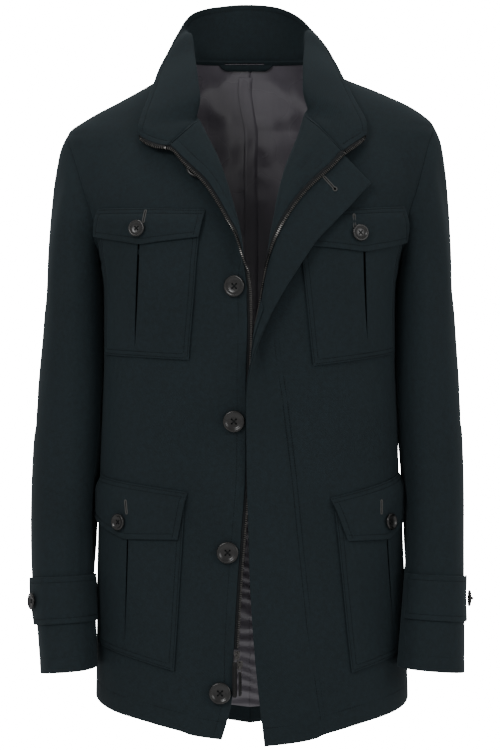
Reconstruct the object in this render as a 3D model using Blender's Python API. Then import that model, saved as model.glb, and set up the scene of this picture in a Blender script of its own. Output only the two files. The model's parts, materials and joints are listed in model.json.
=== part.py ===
"""Field jacket, men's slim size 48, hollow and filled out as on a wearer, with its front open.

The frame is +Z up, the front faces -Y and the wearer's left is +X. The origin lies inside the
jacket, midway between the two shoulder seams at the side of the neck.
Lengths in this file are millimetres and angles are degrees, apart from MM, which turns them into
metres when a mesh is made. "Right" and "left" are the wearer's.
"""

import math

import bmesh
import bpy
import numpy as np
from mathutils import Matrix, Vector

MM = 0.001
RIGHT, LEFT = -1, 1
SIDE_NAME = {RIGHT: "right", LEFT: "left"}

# --- Driving sizes -------------------------------------------------------------------------------
SHELL = 1.8  # wall of the coated wool shell
THIN = 1.2  # wall of facing, under layers and lining
SEAM = 0.2  # each panel stops this far short of a seam line
SLEEVE_SEAM = 0.3  # and each sleeve piece this far, as its seams run into the armpit's fold
LAYER_GAP = 0.3  # between two layers that lie on each other
INNER = (-LAYER_GAP - THIN, -LAYER_GAP)  # the first layer inside the shell
SECOND = (INNER[0] - LAYER_GAP - THIN, INNER[0] - LAYER_GAP)  # the next layer inside that
POCKET = (SHELL + 1.8, SHELL + 3.4)  # patch pockets over the shell
FLAP_TOP = (SHELL + 0.9, SHELL + 2.5)  # where the flap is sewn down
FLAP = (POCKET[1] + 1.6, POCKET[1] + 3.2)  # where it lies over its pocket
STRAP = (SHELL + 0.8, SHELL + 2.6)  # cuff straps over the sleeves
LINING = (-0.6 - THIN, -0.6)  # the satin hangs a little clear of the back
PATCH = (-4.4, -3.2)  # the hanger patch over the lining
PATCH_ROWS = [  # its height on the back, its ends in the right and left back's columns, and its lip
    (4.5, 1.65, 1.0, (0.0, 0.0, 0.0)),
    (8.5, 2.1, 1.45, (0.0, 0.0, 0.0)),
    (8.5, 2.38, 1.73, (0.0, 1.0, 5.0)),  # over the top of the collar's seam
]

HEM = -792.0
LINING_END = -773.0  # on the back net; its own hem rise comes on top
HEM_SWAY_TOP = -660.0  # the hem's rise at the sides fades out above this height
SIDE_NECK = 10.0
ARMPIT = -236.0
SHOULDER_TIP = {RIGHT: -78.0, LEFT: -67.0}
NECK_SEAM = {RIGHT: -62.0, LEFT: -52.0}  # where the neckline reaches the start of the lapel

BODY_ROWS = [HEM, -745, -690, -615, -545, -485, -432, -396, -364, -334, -306, -280, -256, ARMPIT]
SHARP_ANGLE = 40.0  # faces that meet more sharply than this are shaded with an edge
ARMHOLE_STEPS = 8  # steps down the front of the armhole, and as many up the back
SHOULDER_ROWS = 4
FRONT_SHARES = np.array([0, 0.16, 0.31, 0.43, 0.53, 0.62, 0.71, 0.8, 0.9, 1])
BACK_SHARES = np.array([0, 0.2, 0.38, 0.53, 0.68, 0.84, 1])

SHELL_CLOTH = (0.013, 0.020, 0.023)
LINING_CLOTH = (0.035, 0.033, 0.040)
BUTTON_HORN = (0.016, 0.015, 0.015)
ZIP_TAPE = (0.008, 0.008, 0.009)
ZIP_METAL = (0.30, 0.29, 0.28)
PULL_LEATHER = (0.006, 0.006, 0.006)


class Table:
    """Rows of sizes under named columns, read between the rows on a curve that never overshoots."""

    def __init__(self, columns, rows):
        self.columns = columns.split()
        self.rows = np.array(sorted(rows), float)

    def at(self, where, column):
        x, y = self.rows[:, 0], self.rows[:, self.columns.index(column)]
        step = np.diff(x)
        slope = np.diff(y) / step
        bend = np.zeros_like(y)
        same = slope[:-1] * slope[1:] > 0
        before, after = 2 * step[1:] + step[:-1], step[1:] + 2 * step[:-1]
        safe = np.where(same, slope[:-1] * slope[1:], 1.0)
        mean = (before + after) * safe / np.where(same, before * slope[1:] + after * slope[:-1], 1.0)
        bend[1:-1] = np.where(same, mean, 0.0)
        bend[0], bend[-1] = slope[0], slope[-1]
        at = np.clip(np.asarray(where, float), x[0], x[-1])
        k = np.clip(np.searchsorted(x, at, side="right") - 1, 0, len(step) - 1)
        h = step[k]
        t = (at - x[k]) / h
        rise = (1 - t) ** 2 * (y[k] * (1 + 2 * t) + h * bend[k] * t)
        return rise + t**2 * (y[k + 1] * (3 - 2 * t) + h * bend[k + 1] * (t - 1))


# The jacket's horizontal sections. Each is a rounded oval: half widths to either side, depths in
# front of and behind the line between the shoulder seams, and how square it is (2 is an ellipse).
SECTIONS = Table(
    "height half_right half_left front back centre square",
    [
        (-800, 184, 189, 127, 124, 0, 2.5),
        (-700, 182, 186, 126, 122, 0, 2.5),
        (-620, 181.5, 181, 123, 118, 0, 2.5),
        (-520, 179.5, 177.5, 119, 108, 0, 2.5),
        (-430, 176, 175, 117, 101, 0, 2.5),
        (-340, 173, 171.5, 121, 107, 0, 2.6),
        (-270, 173, 172, 125, 116, 0, 2.7),
        (-236, 177, 177, 123, 119, 1, 2.8),
        (-200, 188, 188, 116, 118, 3, 3.0),
        (-157, 206, 207, 104, 112, 6, 3.0),
        (-110, 216, 218, 87, 102, 10, 2.8),
        (-84, 218.5, 221, 74, 95, 12, 2.55),
        (-78, 216.5, 221.5, 71, 93, 13, 2.5),
        (-67, 203, 218.5, 66, 90, 15, 2.4),
        (-52, 176, 201, 60, 84, 17, 2.3),
        (-35, 146, 168, 54, 78, 20, 2.2),
        (-18, 117, 128, 49, 71, 24, 2.1),
        (-5, 96, 98, 45, 65, 27, 2.1),
        (10, 77, 77, 41, 57, 30, 2.0),
    ],
)
HEM_RISE = Table(  # how far the hem rises above HEM, round the body from front to back
    "angle right left",
    [
        (0, 0, -6),
        (25, 4, -2),
        (40, 13, 8),
        (50, 20, 16),
        (65, 29, 26),
        (78, 38, 35),
        (92, 44, 44),
        (112, 38, 38),
        (140, 10, 10),
        (180, -6, -6),
    ],
)
NECKLINE = Table(  # the front neckline's distance from the middle
    "height right left", [(-62, 67, 64), (-52, 68, 72), (-35, 71, 73), (-15, 75, 75), (10, 77, 77)]
)

# The front edges. Each row starts where the front leaves the body's oval, turns outwards on a soft
# roll and runs on to the edge: its width is measured along the cloth, and it falls by the drop.
LAPEL = {
    RIGHT: Table(
        "height start turn radius width drop",
        [
            (-792, 77, 0, 40, 44, -2),
            (-739, 66.5, 0, 40, 46, 0),
            (-700, 65.5, 0, 40, 46, 0),
            (-650, 63, 1, 40, 46, 0),
            (-575, 58.5, 1, 40, 46, 0),
            (-490, 51.5, 2, 40, 46, 0),
            (-420, 50.5, 3, 36, 46, 0),
            (-370, 49.5, 6, 30, 45, 0),
            (-320, 44, 9, 20, 41.3, -3),
            (-275, 35, 16, 18, 32.5, -4),
            (-250, 27.5, 28, 14, 26, -8),
            (-225, 17.5, 82, 9, 20, -12),
            (-200, 18.5, 108, 8, 18, -16),
            (-175, 23, 135, 7.5, 19, -23),
            (-150, 29, 158, 7, 21, -32),
            (-125, 36.5, 172, 7, 24, -38),
            (-100, 46, 180, 7, 29, -42),
            (-80, 57, 181, 7, 37, -44),
            (-62, 67, 182, 7, 47, -42),
        ],
    ),
    LEFT: Table(
        "height start turn radius width drop",
        [
            (-792, 83, 0, 40, 66, -3),
            (-720, 74.5, 0, 40, 66, -2),
            (-650, 68, 1, 40, 66, 0),
            (-575, 64, 3, 40, 65, 0),
            (-510, 60, 5, 36, 63.2, 0),
            (-455, 52, 10, 30, 56.8, 0),
            (-410, 35, 18, 24, 41, 0),
            (-370, 21.5, 40, 14, 30, -5),
            (-326, 13, 92, 9, 23, -17),
            (-284, 19, 126, 8.5, 22, -34),
            (-246, 24.5, 150, 8, 25, -50),
            (-210, 30.5, 168, 8, 33, -60),
            (-183, 35, 176, 8, 45, -62),
            (-156, 39.5, 180, 8, 57.5, -64),
            (-130, 45.5, 181, 8, 69.5, -70),
            (-102, 55.5, 182, 8, 77.5, -79),
            (-77, 65.5, 183, 8, 83.5, -86),
            (-52, 72, 184, 8, 92, -95),
        ],
    ),
}
ZIP_SETBACK = Table(  # the left zip's place on the front's turned width, as a share of it
    "height share",
    [
        (-792, 0.24),
        (-455, 0.20),
        (-370, 0.16),
        (-284, 0.24),
        (-246, 0.30),
        (-210, 0.36),
        (-156, 0.45),
        (-130, 0.49),
        (-102, 0.54),
        (-77, 0.60),
        (-52, 0.634),
    ],
)

# The collar, from the front corner (share 0) round to the middle of the back (share 1): its top
# edge and the height of its roll, with x measured outwards from the middle.
COLLAR = {
    RIGHT: Table(
        "share top_x top_y top_z roll_x roll_y roll_z",
        [
            (0.00, 131, -64, -84, 112, -78, -95),
            (0.10, 132, -61, -74, 106, -72, -82),
            (0.19, 130, -54, -65, 92, -64, -67),
            (0.26, 127, -46, -55, 70, -58, -46),
            (0.36, 119, -26, -33, 68, -37, -16),
            (0.48, 110, 4, -3, 70, -2, 16),
            (0.60, 97, 26, 25, 72, 28, 44),
            (0.72, 82, 46, 56, 73, 54, 42),
            (0.82, 66, 64, 74, 60, 72, 46),
            (0.92, 36, 84, 83, 32, 85, 48),
            (1.00, 5, 91, 86, -3, 90, 50),
        ],
    ),
    LEFT: Table(
        "share top_x top_y top_z roll_x roll_y roll_z",
        [
            (0.00, 137, -66, -84, 119, -80, -97),
            (0.10, 138, -62, -73, 112, -74, -82),
            (0.19, 134, -53, -60, 96, -64, -62),
            (0.26, 127, -44, -47, 74, -56, -40),
            (0.36, 115, -24, -21, 68, -34, -8),
            (0.48, 103, 4, 6, 68, 0, 24),
            (0.60, 88, 26, 33, 68, 30, 46),
            (0.72, 68, 48, 58, 66, 56, 42),
            (0.82, 50, 64, 73, 51, 74, 44),
            (0.92, 22, 84, 84, 24, 87, 48),
            (1.00, -5, 91, 86, -3, 90, 50),
        ],
    ),
}
COLLAR_ROWS = 6
NECK_CORNER, SHOULDER_SEAM = 0.26, 0.60  # shares at the start of the lapel and at the shoulder
COLLAR_GAP = 1.5  # between the collar and the panels it is sewn to
CORNER_GAP = 1.2  # and this much more in the fold where the lapel starts

# The sleeves below the armpit: centre outwards from the middle, half width across and half depth.
SLEEVES = {
    RIGHT: Table(
        "height out along half_width half_depth",
        [
            (-722, 214, -58, 33.5, 51),
            (-700, 214.5, -54, 34.5, 51),
            (-650, 218, -42, 36, 52),
            (-590, 222, -26, 39, 54),
            (-520, 221.5, -9, 40.5, 57),
            (-460, 218.5, 2, 42, 60),
            (-400, 214.5, 8, 42, 64),
            (-330, 211, 10, 38.5, 68),
            (-264, 209.5, 9, 36, 71),
        ],
    ),
    LEFT: Table(
        "height out along half_width half_depth",
        [
            (-720, 212, -72, 41, 50),
            (-690, 213, -66, 40, 50),
            (-650, 216, -54, 38, 52),
            (-590, 218.5, -34, 36, 55),
            (-520, 219.5, -12, 36.5, 57),
            (-460, 217, 0, 38.5, 60),
            (-400, 213, 7, 40, 64),
            (-330, 210, 10, 38, 68),
            (-264, 209, 9, 35, 71),
        ],
    ),
}
BODY_CLEARANCE = 1.0  # the sleeves lie against the body, this far off it
SLEEVE_TOP = -264.0
SLEEVE_END = {RIGHT: -716.0, LEFT: -714.0}
SLEEVE_SQUARE = 2.25
ARMHOLE_MIDDLE, ARMHOLE_REACH = 4.0, 66.0
ARMHOLE_CURVE = {  # depth of each half, its middle share, and how much less it is at the shoulder
    "front": (64.0, 0.90, 0.26),
    "back": (68.0, 0.92, 0.14),
}
SIDE_SEAM_LEAN, SIDE_SEAM_REACH = 4.0, 150.0  # degrees that the side seam lies back, reached this far down
SLEEVE_SET = 0.8  # the sleeve starts this far outside the armhole's edge
HANG_MARGIN = 5.0  # a sleeve hangs clear of the body from this far above the armhole's edge
CAP_LEAVES, CAP_ARRIVES = (20.0, 60.0), (24.0, 144.0)  # the cap's curve, under the arm and on top
CAP_SPREAD = 1.2  # packs the cap's rings towards the armhole
CUFF_TILT = 4.0
CAP_ROWS, ARM_ROWS = 5, 9
FRONT_SEAM, BACK_SEAM = 6, 13  # the sleeve's seams, in armhole steps round from its top

# Patch pockets and flaps on the fronts. Places are measured round the body from the middle of the
# front, and in height. Each flap hangs to a point at its middle.
POCKET_COLUMNS = "inner_top inner_top_z outer_top outer_top_z inner_low inner_low_z outer_low outer_low_z"
POCKETS = {
    "chest_pocket_right": (RIGHT, (58, -190, 190, -187, 71, -350, 199, -343)),
    "chest_pocket_left": (LEFT, (56, -193, 194, -187, 73, -357, 200, -341)),
    "lower_pocket_right": (RIGHT, (76, -522, 205, -504, 88, -716, 208, -688)),
    "lower_pocket_left": (LEFT, (100, -528, 222, -497, 120, -720, 236, -690)),
}
FLAPS = {
    "chest_flap_right": (RIGHT, (52, -176, 184, -172, 59, -209, 197, -202), 10),
    "chest_flap_left": (LEFT, (54, -180, 188, -169, 60, -218, 204, -209), 10),
    "lower_flap_right": (RIGHT, (72, -505, 206, -487, 84, -560, 217, -537), 12),
    "lower_flap_left": (LEFT, (95, -512, 214, -484, 114, -562, 224, -537), 12),
}
PLEAT_AT = 0.53  # the pocket's box pleat, as a share of its width
PLEAT = (POCKET[0] - 0.35, POCKET[1] - 0.75)  # the wall dips at the pleat's folds
FLAP_BUTTONS = {
    "button_chest_right": (RIGHT, 129, -198),
    "button_chest_left": (LEFT, 126, -203),
    "button_lower_right": (RIGHT, 156, -541),
    "button_lower_left": (LEFT, 172, -541),
}

FRONT_BUTTONS = {  # height of the front's row and share of its turned width
    "button_front_1": (-88, 0.93),
    "button_front_2": (-262, 0.52),
    "button_front_3": (-422, 0.70),
    "button_front_4": (-575, 0.70),
    "button_front_5": (-739, 0.70),
}
COAT_BUTTON, SMALL_BUTTON = 12.8, 10.0  # radii
BUTTON_SIDES = 12
BUTTON_GAP = 1.0

# Cuff straps: heights of the lower and upper edges, then armhole steps round the sleeve from its
# outer side where the strap starts and ends and its button sits.
CUFF_STRAPS = {RIGHT: (-660, -606, 7.3, 0.7, 1.75), LEFT: (-656, -604, 6.1, -1.1, -0.1)}
STRAP_TURN = 4  # columns repeated past the sleeve's top
STRAP_POINT = 0.5
STRAP_SPRING = 2.0  # the free end stands off the sleeve

TAPE_GAP, TAPE_WIDTH = 0.45, 5.0
TAPE_LEVEL = -0.75
ZIP_FOOT = {RIGHT: -687.0, LEFT: -700.0}
FLY_BAND = (-710.0, -238.0)
SLIDER_Y, SLIDER_DEPTH = -126.4, 4.0
LOOP_REACH, LOOP_HOLD, LOOP_WIDTH = 3.6, 1.7, 1.4
LINK_WIRE, LINK_REACH = 0.8, 9.0
SLIDERS = {"upper": (-15.0, -694.0), "lower": (-11.9, -705.4)}
PULLS = {  # the link's middle, height and width, then the tab's middle, width, wall, length and turn
    "upper": (-15.65, -694.0, 5.6, (-17.8, 5.6, 2.0, 40.0, 0)),
    "lower": (-11.7, -705.4, 4.8, (-11.6, 5.6, 2.0, 27.0, 65)),
}


def unit(v):
    return v / np.maximum(np.linalg.norm(v, axis=-1, keepdims=True), 1e-9)


def sections(side, z):
    """Half width, front depth, back depth, centre and squareness of the oval at a height."""
    half = SECTIONS.at(z, "half_left" if side == LEFT else "half_right")
    return half, *(SECTIONS.at(z, name) for name in ("front", "back", "centre", "square"))


def torso(side, z, angle):
    """A point of the body's oval at a height, angle 0 in front, 90 at the side and 180 behind."""
    z, angle = np.broadcast_arrays(np.asarray(z, float), np.radians(angle))
    half, front, back, centre, square = sections(side, z)
    cos, sin = np.cos(angle), np.sin(angle)
    depth = np.where(cos >= 0, front, back)
    reach = ((np.abs(cos) / depth) ** square + (np.abs(sin) / half) ** square) ** (-1 / square)
    return np.stack([side * reach * sin, centre - reach * cos, z], -1)


def torso_normal(side, z, angle):
    round_ = torso(side, z, angle + 0.5) - torso(side, z, angle - 0.5)
    up = torso(side, z + 1.0, angle) - torso(side, z - 1.0, angle)
    return unit(np.cross(round_, up) * side)


def chest(side, x, z):
    """The front of the oval at a place x across and a height."""
    x, z = np.broadcast_arrays(np.asarray(x, float), np.asarray(z, float))
    half, front, _, centre, square = sections(side, z)
    inside = np.clip(1 - (np.abs(x) / half) ** square, 1e-4, 1)
    return np.stack([x, centre - front * inside ** (1 / square), z], -1)


def chest_normal(side, x, z):
    across = chest(side, x + 1.0, z) - chest(side, x - 1.0, z)
    up = chest(side, x, z + 1.0) - chest(side, x, z - 1.0)
    return unit(np.cross(across, up))


ANGLES = np.linspace(0, 180, 721)


def angle_at(side, z, axis, value):
    """The angle at which each oval crosses x = value (axis 0, outwards) or y = value (axis 1)."""
    found = []
    for height, wanted in zip(np.atleast_1d(z), np.atleast_1d(value)):
        ring = torso(side, height, ANGLES)
        along = side * ring[:, 0] if axis == 0 else ring[:, 1]
        last = 361 if axis == 0 else len(ANGLES)
        found.append(np.interp(wanted, along[:last], ANGLES[:last]))
    return np.array(found)


def angle_round(side, z, distance):
    """The angle at a distance round the oval from the middle of the front."""
    ring = torso(side, z, ANGLES)
    run = np.concatenate([[0], np.cumsum(np.linalg.norm(np.diff(ring, axis=0), axis=1))])
    return np.interp(distance, run, ANGLES)


def hem_height(side, z, angle):
    """Lifts a point near the hem by the hem's rise."""
    rise = HEM_RISE.at(angle, SIDE_NAME[side])
    share = np.clip((HEM_SWAY_TOP - z) / (HEM_SWAY_TOP - HEM), 0, 1)
    return z + rise * share**1.5


def lapel(side, z, share):
    """A point of the front's turned width: share 0 on the body, 1 at the edge."""
    z, share = np.broadcast_arrays(np.asarray(z, float), np.asarray(share, float))
    row = {name: LAPEL[side].at(z, name) for name in LAPEL[side].columns[1:]}
    turn = np.radians(row["turn"])
    run = share * row["width"]
    bent = np.minimum(run / row["radius"], turn)
    straight = run - bent * row["radius"]
    inwards = row["radius"] * np.sin(bent) + straight * np.cos(turn)
    lift = row["radius"] * (1 - np.cos(bent)) + straight * np.sin(turn)
    x = side * (row["start"] - inwards)
    from_front = np.degrees(np.arctan2(np.maximum(side * x, 0), sections(side, z)[1]))
    height = hem_height(side, z, from_front) + row["drop"] * share
    return chest(side, x, height) + lift[..., None] * chest_normal(side, x, height)


def armhole_y(side, z, behind):
    """How far forward or back the armhole's edge lies at a height."""
    middle, half = (SHOULDER_TIP[side] + ARMPIT) / 2, (SHOULDER_TIP[side] - ARMPIT) / 2
    cos = np.clip((z - middle) / half, -1, 1)
    sin = np.sqrt(1 - cos**2)
    depth, share, less = ARMHOLE_CURVE["back" if behind else "front"]
    reach = depth * (share - less * cos) * sin
    return SECTIONS.at(z, "centre") + (reach if behind else -reach)


def side_angle(side, z, behind):
    """Where the front and back panels end at a height: side seam, armhole or shoulder seam."""
    seam = 90 + SIDE_SEAM_LEAN * np.clip((ARMPIT - z) / SIDE_SEAM_REACH, 0, 1)
    if ARMPIT < z < SHOULDER_TIP[side]:
        return angle_at(side, z, 1, armhole_y(side, z, behind))[0]
    gap = np.degrees(SEAM / sections(side, z)[0])
    return seam + (gap if behind else -gap)


def front_start(side, z):
    """The angle where the front leaves the lapel, or its neckline above that."""
    if z > NECK_SEAM[side]:
        return min(angle_at(side, z, 0, NECKLINE.at(z, SIDE_NAME[side]))[0], 90)
    start = lapel(side, z, 0.0)
    _, _, _, centre, _ = sections(side, start[2])
    return float(np.degrees(np.arctan2(side * start[0], centre - start[1])))


def turned_shares(side, z):
    """Shares of the turned width that carry the wall's columns, from the edge inwards."""
    if side == RIGHT:
        return np.array([1, 0.8, 0.6, 0.42, 0.28, 0.14])
    zip_at = float(ZIP_SETBACK.at(z, "share"))
    outside = zip_at + (1 - zip_at) * np.array([1, 0.66, 0.33])
    return np.concatenate([outside, zip_at * np.array([1, 0.75, 0.5, 0.25])])


ZIP_COLUMN = 3  # the left front's column that the zip follows


def body_rows(side):
    """Row heights from the hem up to the armpit, then on the armhole's steps, then to the neck."""
    tip = SHOULDER_TIP[side]
    turn = np.linspace(math.pi, 0, ARMHOLE_STEPS + 1)
    armhole = (tip + ARMPIT) / 2 + (tip - ARMPIT) / 2 * np.cos(turn)
    above = [NECK_SEAM[side], *np.linspace(NECK_SEAM[side], SIDE_NECK, SHOULDER_ROWS)[1:]]
    return np.concatenate([BODY_ROWS, armhole[1:], above])


def grid_normals(points, sign):
    """Normals of a grid of points; sign 1 where columns x rows points outwards."""
    return unit(np.cross(np.gradient(points, axis=1), np.gradient(points, axis=0))) * sign


class Net:
    """A grid of points and outward normals that walls are built on."""

    def __init__(self, rows, points, normals):
        self.rows, self.points, self.normals = np.array(rows), points, normals

    def mix(self, values, row, column):
        row, column = np.broadcast_arrays(np.asarray(row, float), np.asarray(column, float))
        i = np.clip(np.searchsorted(self.rows, row, side="right") - 1, 0, len(self.rows) - 2)
        s = ((row - self.rows[i]) / (self.rows[i + 1] - self.rows[i]))[..., None]
        j = np.clip(column.astype(int), 0, values.shape[1] - 2)
        t = (column - j)[..., None]
        start, end = values[i, j], values[i + 1, j + 1]
        below = start * (1 - t) + values[i, j + 1] * (t - s) + end * s
        above = start * (1 - s) + values[i + 1, j] * (s - t) + end * t
        return np.where(t > s, below, above)

    def at(self, row, column):
        """Points on the net's own flat facets, and their normals."""
        return self.mix(self.points, row, column), unit(self.mix(self.normals, row, column))


def front_net(side):
    heights = body_rows(side)
    points, normals = [], []
    for z in heights:
        row = min(z, NECK_SEAM[side])
        across = lapel(side, row, turned_shares(side, row))
        begin, end = front_start(side, z), side_angle(side, z, False)
        angle = begin + (end - begin) * FRONT_SHARES
        body = torso(side, hem_height(side, z, angle), angle)
        points.append(np.concatenate([across, body]))
        normals.append(torso_normal(side, hem_height(side, z, angle), angle))
    points, normals = np.array(points), np.array(normals)
    turned = points.shape[1] - len(FRONT_SHARES)
    by_grid = np.zeros_like(points)
    kept = heights <= NECK_SEAM[side]
    by_grid[kept] = grid_normals(points[kept], side)
    normals[kept, 0] = by_grid[kept, turned]
    return Net(heights, points, np.concatenate([by_grid[:, :turned], normals], axis=1))


def back_net(side):
    heights = body_rows(side)
    points, normals = [], []
    for z in heights:
        begin, end = 180 - np.degrees(SEAM / sections(side, z)[2]), side_angle(side, z, True)
        angle = begin + (end - begin) * BACK_SHARES
        points.append(torso(side, hem_height(side, z, angle), angle))
        normals.append(torso_normal(side, hem_height(side, z, angle), angle))
    return Net(heights, np.array(points), np.array(normals))


# --- Solids --------------------------------------------------------------------------------------
def make_material(name, colour, roughness, metallic=0.0):
    material = bpy.data.materials.new(name)
    material.use_nodes = True
    shader = material.node_tree.nodes["Principled BSDF"]
    shader.inputs["Base Color"].default_value = (*colour, 1)
    shader.inputs["Roughness"].default_value = roughness
    shader.inputs["Metallic"].default_value = metallic
    return material


def make_mesh(name, bm, material):
    """Turns a closed bmesh drawn in millimetres into a mesh in metres, its faces outwards."""
    bmesh.ops.recalc_face_normals(bm, faces=bm.faces)
    if bm.calc_volume(signed=True) < 0:
        bmesh.ops.reverse_faces(bm, faces=bm.faces)
    bmesh.ops.scale(bm, verts=bm.verts, vec=(MM, MM, MM))
    mesh = bpy.data.meshes.new(name)
    bm.to_mesh(mesh)
    bm.free()
    mesh.shade_smooth()
    mesh.set_sharp_from_angle(angle=math.radians(SHARP_ANGLE))
    mesh.materials.append(material)
    return mesh


def add_object(name, bm, material):
    made = bpy.data.objects.new(name, make_mesh(name, bm, material))
    bpy.context.scene.collection.objects.link(made)
    return made


def wall(name, material, points, normals, low, high, cells=None):
    """A closed wall over a grid of points, from low to high above it along the normals.

    low and high are numbers or grids. cells is a grid that says which of the quads exist.
    """
    rows, columns = points.shape[:2]
    low = np.broadcast_to(np.asarray(low, float), (rows, columns))
    high = np.broadcast_to(np.asarray(high, float), (rows, columns))
    bm = bmesh.new()
    inner = [[bm.verts.new(p) for p in row] for row in points + normals * low[..., None]]
    outer = [[bm.verts.new(p) for p in row] for row in points + normals * high[..., None]]
    rims = {}
    for i in range(rows - 1):
        for j in range(columns - 1):
            if cells is not None and not cells[i][j]:
                continue
            corners = [(i, j), (i, j + 1), (i + 1, j + 1), (i + 1, j)]
            for a, b in zip(corners, corners[1:] + corners[:1]):
                if (b, a) in rims:
                    del rims[(b, a)]
                else:
                    rims[(a, b)] = True
            for triangle in (corners[:3], [corners[0], corners[2], corners[3]]):
                bm.faces.new([outer[m][n] for m, n in triangle])
                bm.faces.new([inner[m][n] for m, n in reversed(triangle)])
    for (i, j), (m, n) in rims:
        a, b, c, d = inner[i][j], inner[m][n], outer[m][n], outer[i][j]
        for triangle in ((a, b, c), (a, c, d)) if (i, j) < (m, n) else ((a, b, d), (b, c, d)):
            bm.faces.new(triangle)
    bmesh.ops.delete(bm, geom=[v for v in bm.verts if not v.link_faces], context="VERTS")
    add_object(name, bm, material)


def pull_in(points, normals, gap):
    """Moves a grid's first and last columns inwards by a gap, square to the seams they follow."""
    moved = points.copy()
    for edge, following in ((0, 1), (-1, -2)):
        seam = np.gradient(points[:, edge], axis=0)
        square = unit(np.cross(seam, normals[:, edge]))
        inwards = np.sum(square * (points[:, following] - points[:, edge]), axis=1, keepdims=True)
        moved[:, edge] += square * np.sign(inwards) * gap
    return moved


# --- Body panels, facings and lining -------------------------------------------------------------
def make_front(side, net, cloth):
    below_neck = net.rows[:-1] < NECK_SEAM[side] - 0.01
    turned = net.points.shape[1] - len(FRONT_SHARES)
    cells = np.ones((len(net.rows) - 1, net.points.shape[1] - 1), bool)
    cells[~below_neck, :turned] = False
    wall(f"front_{SIDE_NAME[side]}", cloth, net.points, net.normals, 0, SHELL, cells)


def make_back(side, net, cloth):
    wall(f"back_{SIDE_NAME[side]}", cloth, net.points, net.normals, 0, SHELL)


def make_facings(nets, cloth):
    """The fronts' inner layer, which shows where they are turned out."""
    for side in (RIGHT, LEFT):
        net = nets[side]
        kept = net.rows <= NECK_SEAM[side]
        turned = net.points.shape[1] - len(FRONT_SHARES)
        points, normals = net.points[kept], net.normals[kept]
        last = turned + 2
        if side == RIGHT:
            wall("facing_right", cloth, points[:, : last + 1], normals[:, : last + 1], *INNER)
            continue
        low = np.full((len(points), last + 1), INNER[0])
        high = low + THIN
        low[:, : ZIP_COLUMN + 2], high[:, : ZIP_COLUMN + 2] = SECOND
        cut = slice(ZIP_COLUMN, last + 1)
        wall("facing_left", cloth, points[:, cut], normals[:, cut], low[:, cut], high[:, cut])
        cut = slice(0, ZIP_COLUMN + 2)
        wall("fly_lining_left", cloth, points[:, cut], normals[:, cut], *INNER)


def clear_scene():
    for obj in list(bpy.data.objects):
        bpy.data.objects.remove(obj)


def make_lining(side, net, satin):
    """The satin back lining, hung from the neck and closed by a fold at the middle."""
    rows, columns = np.meshgrid([LINING_END, *net.rows[1:]], np.arange(len(BACK_SHARES)), indexing="ij")
    points, normals = net.at(rows, columns)
    wall(f"lining_back_{SIDE_NAME[side]}", satin, points, normals, *LINING)


# --- Collar --------------------------------------------------------------------------------------
def collar_columns(side, front, back):
    """The collar's seam from its front corner to the middle of the back, on the panels' own points."""
    neck = int(np.argmin(np.abs(front.rows - NECK_SEAM[side])))
    turned = front.points.shape[1] - len(FRONT_SHARES)
    first = ZIP_COLUMN if side == LEFT else 0
    shares = turned_shares(side, NECK_SEAM[side])
    columns = []
    for j in range(first, turned):
        share = NECK_CORNER * (1 - shares[j] / shares[first])
        columns.append((share, front.points[neck, j], front.normals[neck, j]))
    climb = np.linspace(NECK_CORNER, SHOULDER_SEAM, len(front.rows) - neck)
    for share, i in zip(climb, range(neck, len(front.rows))):
        columns.append((share, front.points[i, turned], front.normals[i, turned]))
    behind = np.linspace(SHOULDER_SEAM, 1.0, len(BACK_SHARES))
    for share, j in zip(behind[1:], range(len(BACK_SHARES) - 2, -1, -1)):
        columns.append((share, back.points[-1, j], back.normals[-1, j]))
    return columns


def collar_net(fronts, backs):
    right = collar_columns(RIGHT, fronts[RIGHT], backs[RIGHT])
    left = collar_columns(LEFT, fronts[LEFT], backs[LEFT])
    columns = [(RIGHT, *c) for c in right] + [(LEFT, *c) for c in reversed(left[:-1])]
    points = np.zeros((COLLAR_ROWS + 1, len(columns), 3))
    for j, (side, share, base, _) in enumerate(columns):
        edge = {name: COLLAR[side].at(share, name) for name in COLLAR[side].columns[1:]}
        top = np.array([side * edge["top_x"], edge["top_y"], edge["top_z"]])
        roll = np.array([side * edge["roll_x"], edge["roll_y"], edge["roll_z"]])
        if share == 1.0:
            base = base * np.array([0, 1, 1])
        for i, t in enumerate(np.linspace(0, 1, COLLAR_ROWS + 1)):
            parts = base * (1 - t) * (1 - 2 * t), 4 * roll * t * (1 - t), top * t * (2 * t - 1)
            points[i, j] = sum(parts)
    corner = np.array([abs(share - NECK_CORNER) < 0.01 for _, share, _, _ in columns])
    gap = COLLAR_GAP + CORNER_GAP * corner
    points[0] += unit(points[1] - points[0]) * gap[:, None]
    normals = grid_normals(points, 1)
    seam_normals = np.array([column[3] for column in columns])
    for i, share in ((0, 1.0), (1, 0.4)):
        normals[i] = unit(seam_normals * share + normals[i] * (1 - share))
    return Net(np.arange(COLLAR_ROWS + 1), points, normals)


def make_collar(net, cloth):
    wall("collar_outer", cloth, net.points, net.normals, 0, THIN)
    wall("collar_inner", cloth, net.points, net.normals, *INNER)


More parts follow.
